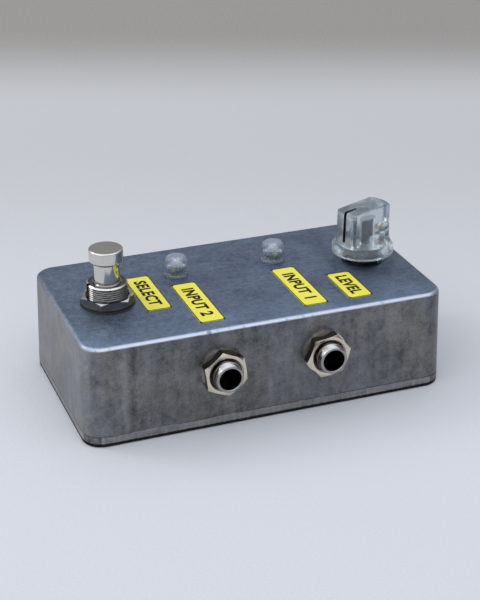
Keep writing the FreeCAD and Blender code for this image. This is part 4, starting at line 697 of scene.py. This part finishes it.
def merged_copy(node, name, body, finish=None):
    """A smooth, joined copy of a CAD node that takes its place."""
    mesh = frame["nodes"][node].data.copy()
    work = bmesh.new()
    work.from_mesh(mesh)
    bmesh.ops.remove_doubles(work, verts=work.verts, dist=SAME_POINT)
    work.to_mesh(mesh)
    work.free()
    finish = finish or frame["nodes"][node].material_slots[0].material
    piece = new_piece(name, mesh, finish, body)
    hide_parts(node)
    return piece


def rounded_outline(length, width, radius, steps=6):
    """Points of a rounded rectangle, length along x and width along y."""
    points = []
    for corner in range(4):
        centre_x = (length / 2 - radius) * (1, -1, -1, 1)[corner]
        centre_y = (width / 2 - radius) * (1, 1, -1, -1)[corner]
        for step in range(steps + 1):
            angle = math.pi / 2 * (corner + step / steps)
            x = centre_x + radius * math.cos(angle)
            points.append((x, centre_y + radius * math.sin(angle)))
    return points


def skin(work, rings, closed):
    """Joins rings of points in turn with faces, and the last to the first if closed."""
    pairs = list(zip(rings, rings[1:]))
    if closed:
        pairs.append((rings[-1], rings[0]))
    count = len(rings[0])
    for here, after in pairs:
        for i in range(count):
            j = (i + 1) % count
            work.faces.new((here[i], here[j], after[j], after[i]))


def mesh_from(work, name):
    """Ends a bmesh as a mesh with its faces turned outwards."""
    bmesh.ops.recalc_face_normals(work, faces=work.faces)
    mesh = bpy.data.meshes.new(name)
    work.to_mesh(mesh)
    work.free()
    return mesh


def frame_line(length, width):
    """The printed frame along the tape's edge, filled out in its corners, as a low ring."""
    outer = rounded_outline(length - 2 * FRAME_INSET, width - 2 * FRAME_INSET, OUTER_CORNER)
    inner = rounded_outline(length - 2 * FRAME_LINE, width - 2 * FRAME_LINE, INNER_CORNER)
    top = PRINT_HEIGHT
    work = bmesh.new()
    rings = []
    for points, height in ((outer, 0.0), (outer, top), (inner, top), (inner, 0.0)):
        rings.append([work.verts.new((x, y, height)) for x, y in points])
    skin(work, rings, closed=True)
    return mesh_from(work, "frame_line")


def printed_word(word, longest):
    """A word as a thin solid mesh in millimetres, centred, in bold capitals."""
    curve = bpy.data.curves.new("word", "FONT")
    curve.body = word
    curve.size = CAPITAL_HEIGHT / CAPITAL_SHARE
    curve.align_x = "CENTER"
    curve.align_y = "CENTER"
    curve.space_character = LETTER_SPACE
    curve.offset = STROKE_GROWTH
    curve.extrude = PRINT_HEIGHT / 2
    curve.resolution_u = 3
    writer = bpy.data.objects.new("word", curve)
    bpy.context.scene.collection.objects.link(writer)
    mesh = mesh_of(writer)
    work = bmesh.new()
    work.from_mesh(mesh)
    bmesh.ops.remove_doubles(work, verts=work.verts, dist=0.0005)
    bmesh.ops.recalc_face_normals(work, faces=work.faces)
    work.to_mesh(mesh)
    work.free()
    xs = [v.co.x for v in mesh.vertices]
    ys = [v.co.y for v in mesh.vertices]
    squeeze = min(1.0, longest / (max(xs) - min(xs)))
    foot = Vector(((max(xs) + min(xs)) / 2, (max(ys) + min(ys)) / 2, -PRINT_HEIGHT / 2))
    mesh.transform(Matrix.Diagonal((squeeze, 1.0, 1.0, 1.0)) @ Matrix.Translation(-foot))
    return mesh


def joined(meshes, name):
    """Several meshes as one."""
    work = bmesh.new()
    for mesh in meshes:
        work.from_mesh(mesh)
    whole = bpy.data.meshes.new(name)
    work.to_mesh(whole)
    work.free()
    return whole


def print_label(node, word):
    """The printed frame and word of one tape, which read towards the player."""
    low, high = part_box(node)
    length = (high.y - low.y) / MM
    width = (high.x - low.x) / MM
    border = frame_line(length, width)
    letters = printed_word(word, length - WORD_MARGIN)
    mesh = joined([border, letters], node + "_print")
    middle = (low + high) / 2
    turn = Matrix.Rotation(-math.pi / 2, 4, "Z") @ Matrix.Scale(MM, 4)
    mesh.transform(Matrix.Translation((middle.x, middle.y, high.z)) @ turn)
    new_piece(node + "_print", mesh, PRINT, "housing")


def lathe(profile, centre, angles, closed):
    """A turned shape about the upright axis at centre, from points of (radius, height)."""
    work = bmesh.new()
    rings = []
    for radius, height in profile:
        ring = [(radius * math.cos(angle), radius * math.sin(angle)) for angle in angles]
        rings.append([work.verts.new((centre.x + x, centre.y + y, height)) for x, y in ring])
    skin(work, rings, closed)
    if not closed:
        work.faces.new(rings[0])
        work.faces.new(rings[-1])
    return mesh_from(work, "lathe")


def even_angles(count):
    """Equal steps of angle round a full turn."""
    return [2 * math.pi * i / count for i in range(count)]


def thread_shape():
    """Cuts a thread and a keyway into a turned blank, by moving its points inwards."""
    shape = Shape("bush_thread")
    centre_x = shape.size("Centre X")
    centre_y = shape.size("Centre Y")
    radius = shape.size("Thread radius")
    pitch = shape.size("Pitch")
    depth = shape.size("Depth")
    low = shape.size("Lowest turn")
    high = shape.size("Highest turn")
    key_width = shape.size("Keyway width")
    key_depth = shape.size("Keyway depth")
    key_foot = shape.size("Keyway foot")
    x, y, z = shape.parts_of(shape.add("GeometryNodeInputPosition"))
    out_x = x - centre_x
    out_y = y - centre_y
    reach = (out_x * out_x + out_y * out_y) ** 0.5
    turn = out_y.maths("ARCTAN2", out_y, out_x) / (2 * math.pi)
    along = z / pitch + turn
    groove = along.maths("PINGPONG", along, 0.5) * 2.0
    threaded = (reach > radius - 0.00005) * (z > low) * (z < high)
    drawn_in = (reach - depth * groove * threaded) / reach
    flat = radius - key_depth
    in_key = (out_x < 0.0) * (abs(out_y) < key_width * 0.5) * (z > key_foot)
    keyed = (reach > flat + 0.0001) * in_key
    new_x = out_x * drawn_in * (1.0 - keyed) - flat * keyed
    where = {0: new_x + centre_x, 1: out_y * drawn_in + centre_y, 2: z}
    moved = shape.add("ShaderNodeCombineXYZ", inputs=where)
    cut = shape.add("GeometryNodeSetPosition", inputs={"Geometry": shape.blank, "Position": moved})
    shape.close(cut, DARK_NICKEL)
    return shape


def threaded_bush():
    """The footswitch's bush with its real thread and keyway, in place of the plain one."""
    low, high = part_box("footswitch_bush")
    centre = (low + high) / 2
    flange = (high.x - low.x) / 2
    thread_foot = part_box("footswitch_nut")[1].z - THREAD_BELOW_NUT_TOP
    rise = high.z - BUSH_BEVEL - thread_foot
    profile = [(flange, low.z), (flange, BUSH_SHOULDER), (BUSH_RADIUS, BUSH_SHOULDER)]
    profile.append((BUSH_RADIUS, BUSH_SHOULDER + 0.0002))
    for row in range(THREAD_ROWS + 1):
        profile.append((BUSH_RADIUS, thread_foot + rise * row / THREAD_ROWS))
    profile += [(BUSH_RADIUS - BUSH_BEVEL, high.z), (BUSH_BORE + BUSH_BEVEL, high.z)]
    profile += [(BUSH_BORE, high.z - BUSH_BEVEL), (BUSH_BORE, BUSH_CHAMBER_TOP)]
    profile += [(BUSH_CHAMBER, BUSH_CHAMBER_TOP), (BUSH_CHAMBER, low.z)]
    half_key = math.asin(KEYWAY_WIDTH / 2 / BUSH_RADIUS)
    # Even steps all round, but for the keyway, which has steps of its own
    angles = [a for a in even_angles(BUSH_STEPS) if abs(a - math.pi) > half_key + 0.012]
    angles += [math.pi + half_key * k for k in (-1.01, -0.98, -0.5, 0.0, 0.5, 0.98, 1.01)]
    blank = lathe(profile, centre, sorted(angles), closed=True)
    mesh = thread_shape().made("bush_thread", blank, {
        "Centre X": centre.x,
        "Centre Y": centre.y,
        "Thread radius": BUSH_RADIUS,
        "Pitch": THREAD_PITCH,
        "Depth": THREAD_DEPTH,
        "Lowest turn": thread_foot + 0.0002,
        "Highest turn": high.z - BUSH_BEVEL - 0.0001,
        "Keyway width": KEYWAY_WIDTH,
        "Keyway depth": KEYWAY_DEPTH,
        "Keyway foot": BUSH_SHOULDER + 0.0001,
    })
    piece = new_piece("footswitch_threaded_bush", mesh, DARK_NICKEL, "housing")
    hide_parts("footswitch_bush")


def lamp_chips():
    """Inside each diode: a small cup on its post, with a dab of yellow on top."""
    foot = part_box("lamp_diodes")[0].z + POST_FOOT_RISE
    cup = [(POST_RADIUS, foot), *CUP]
    angles = even_angles(POST_STEPS)
    for number, (off_x, off_y) in POST_OFFSETS.items():
        lens_low, lens_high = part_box("lamp_lens_" + number)
        centre = (lens_low + lens_high) / 2
        post = Vector((centre.x + off_x, centre.y + off_y, 0))
        metal = lathe(cup, post, angles, closed=False)
        new_piece("lamp_cup_" + number, metal, FINISHES["warm_nickel"], "housing")
        powder = lathe(POWDER, post, angles, closed=False)
        new_piece("lamp_chip_" + number, powder, CHIP, "housing")


def closing_coil():
    """The footswitch's return spring, as a smooth, joined copy with a mesh of its own."""
    coil = merged_copy("footswitch_return_spring", "footswitch_coil", "housing")
    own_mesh(coil)


threaded_bush()
closing_coil()
lamp_chips()
print_label("label_footswitch", "SELECT")
print_label("label_input_2", "INPUT 2")
print_label("label_input_1", "INPUT 1")
print_label("label_level", "LEVEL")

merged_copy("knob_body", "knob_clear_body", "knob")
merged_copy("lamp_lens_1", "lamp_dome_1", "housing", LENS)
merged_copy("lamp_lens_2", "lamp_dome_2", "housing", LENS)


# Floor, light and camera


def floor():
    """A pale sheet under the box, with painted shade that darkens it into the distance."""
    f = Finish("pale_floor")
    cloth = f.speckle(900.0, 2.0, 0.6)
    # Painted shade: darker and browner with the distance ahead of the camera
    ahead = (f.x - BELOW_CAMERA[0]) * AHEAD[0] + (f.y - BELOW_CAMERA[1]) * AHEAD[1]
    pale = f.coloured(f.ramp(ahead, 0.36, 0.62), (0.56, 0.566, 0.585), (0.425, 0.425, 0.42))
    colour = f.coloured(f.ramp(ahead, 0.66, 0.80), pale, (0.20, 0.178, 0.15))
    colour = f.coloured((cloth - 0.5) * 0.3 + 0.15, colour, (0.55, 0.56, 0.58))
    material = f.finish(colour, 0.9, f.bumps(cloth, 0.00025, 0.4))
    mesh = bpy.data.meshes.new("pale_floor")
    work = bmesh.new()
    squares = FLOOR_SQUARES
    bmesh.ops.create_grid(work, x_segments=squares, y_segments=squares, size=FLOOR_REACH)
    work.to_mesh(mesh)
    work.free()
    mesh.materials.append(material)
    piece = bpy.data.objects.new("pale_floor", mesh)
    bpy.context.scene.collection.objects.link(piece)


def soft_lamp(name, place, aim, size, watts, colour):
    """A large square lamp that looks at a point."""
    lamp = bpy.data.lights.new(name, "AREA")
    lamp.shape = "SQUARE"
    lamp.size = size
    lamp.energy = watts
    lamp.color = colour
    holder = bpy.data.objects.new(name, lamp)
    bpy.context.scene.collection.objects.link(holder)
    holder.location = place
    holder.rotation_euler = (Vector(aim) - Vector(place)).to_track_quat("-Z", "Y").to_euler()


def room_light():
    """A soft room: bright overhead, to the left and high behind the camera, with dim walls."""
    world = bpy.data.worlds.new("room")
    bpy.context.scene.world = world
    world.use_nodes = True
    sky = Nodes(world.node_tree)
    sky.tree.nodes.clear()
    x, y, z = sky.parts_of(sky.add("ShaderNodeTexCoord", output="Generated"))
    overhead = sky.ramp(z, 0.3, 0.85, 0.0, 0.95)
    window = sky.ramp(-x, 0.25, 0.9) * sky.ramp(z, -0.2, 0.25)
    walls = sky.ramp(y, -0.7, 0.7, 0.14, 0.26)
    behind_camera = sky.ramp(-y, -0.1, 0.8, 0.0, 0.9) * sky.ramp(z, 0.15, 0.6)
    level = overhead + window + walls + behind_camera
    tint = sky.coloured(sky.ramp(z, 0.0, 0.7), (1.0, 0.97, 0.93), (0.93, 0.97, 1.06))
    shine = sky.add("ShaderNodeBackground", inputs={"Color": tint, "Strength": level})
    sky.add("ShaderNodeOutputWorld", inputs={"Surface": shine})


def photo_camera():
    """The camera that was solved from the box's edges in the photograph."""
    camera = bpy.data.cameras.new("photo_camera")
    camera.sensor_width = 36.0
    camera.lens = 88.946
    camera.clip_start = 0.01
    holder = bpy.data.objects.new("photo_camera", camera)
    bpy.context.scene.collection.objects.link(holder)
    holder.matrix_world = Matrix((
        (0.9337684, 0.1532260, -0.3234168, -0.1446610),
        (-0.3578710, 0.4054115, -0.8411717, -0.3795811),
        (0.0022275, 0.9012010, 0.4333956, 0.2195505),
        (0.0, 0.0, 0.0, 1.0),
    ))
    bpy.context.scene.camera = holder


bpy.context.scene.view_settings.view_transform = "Standard"
floor()
room_light()
soft_lamp(
    "window_lamp",
    place=(-0.75, 0.55, 0.7),
    aim=(0, 0, 0.02),
    size=0.35,
    watts=2.0,
    colour=(1.0, 0.99, 0.97),
)
photo_camera()
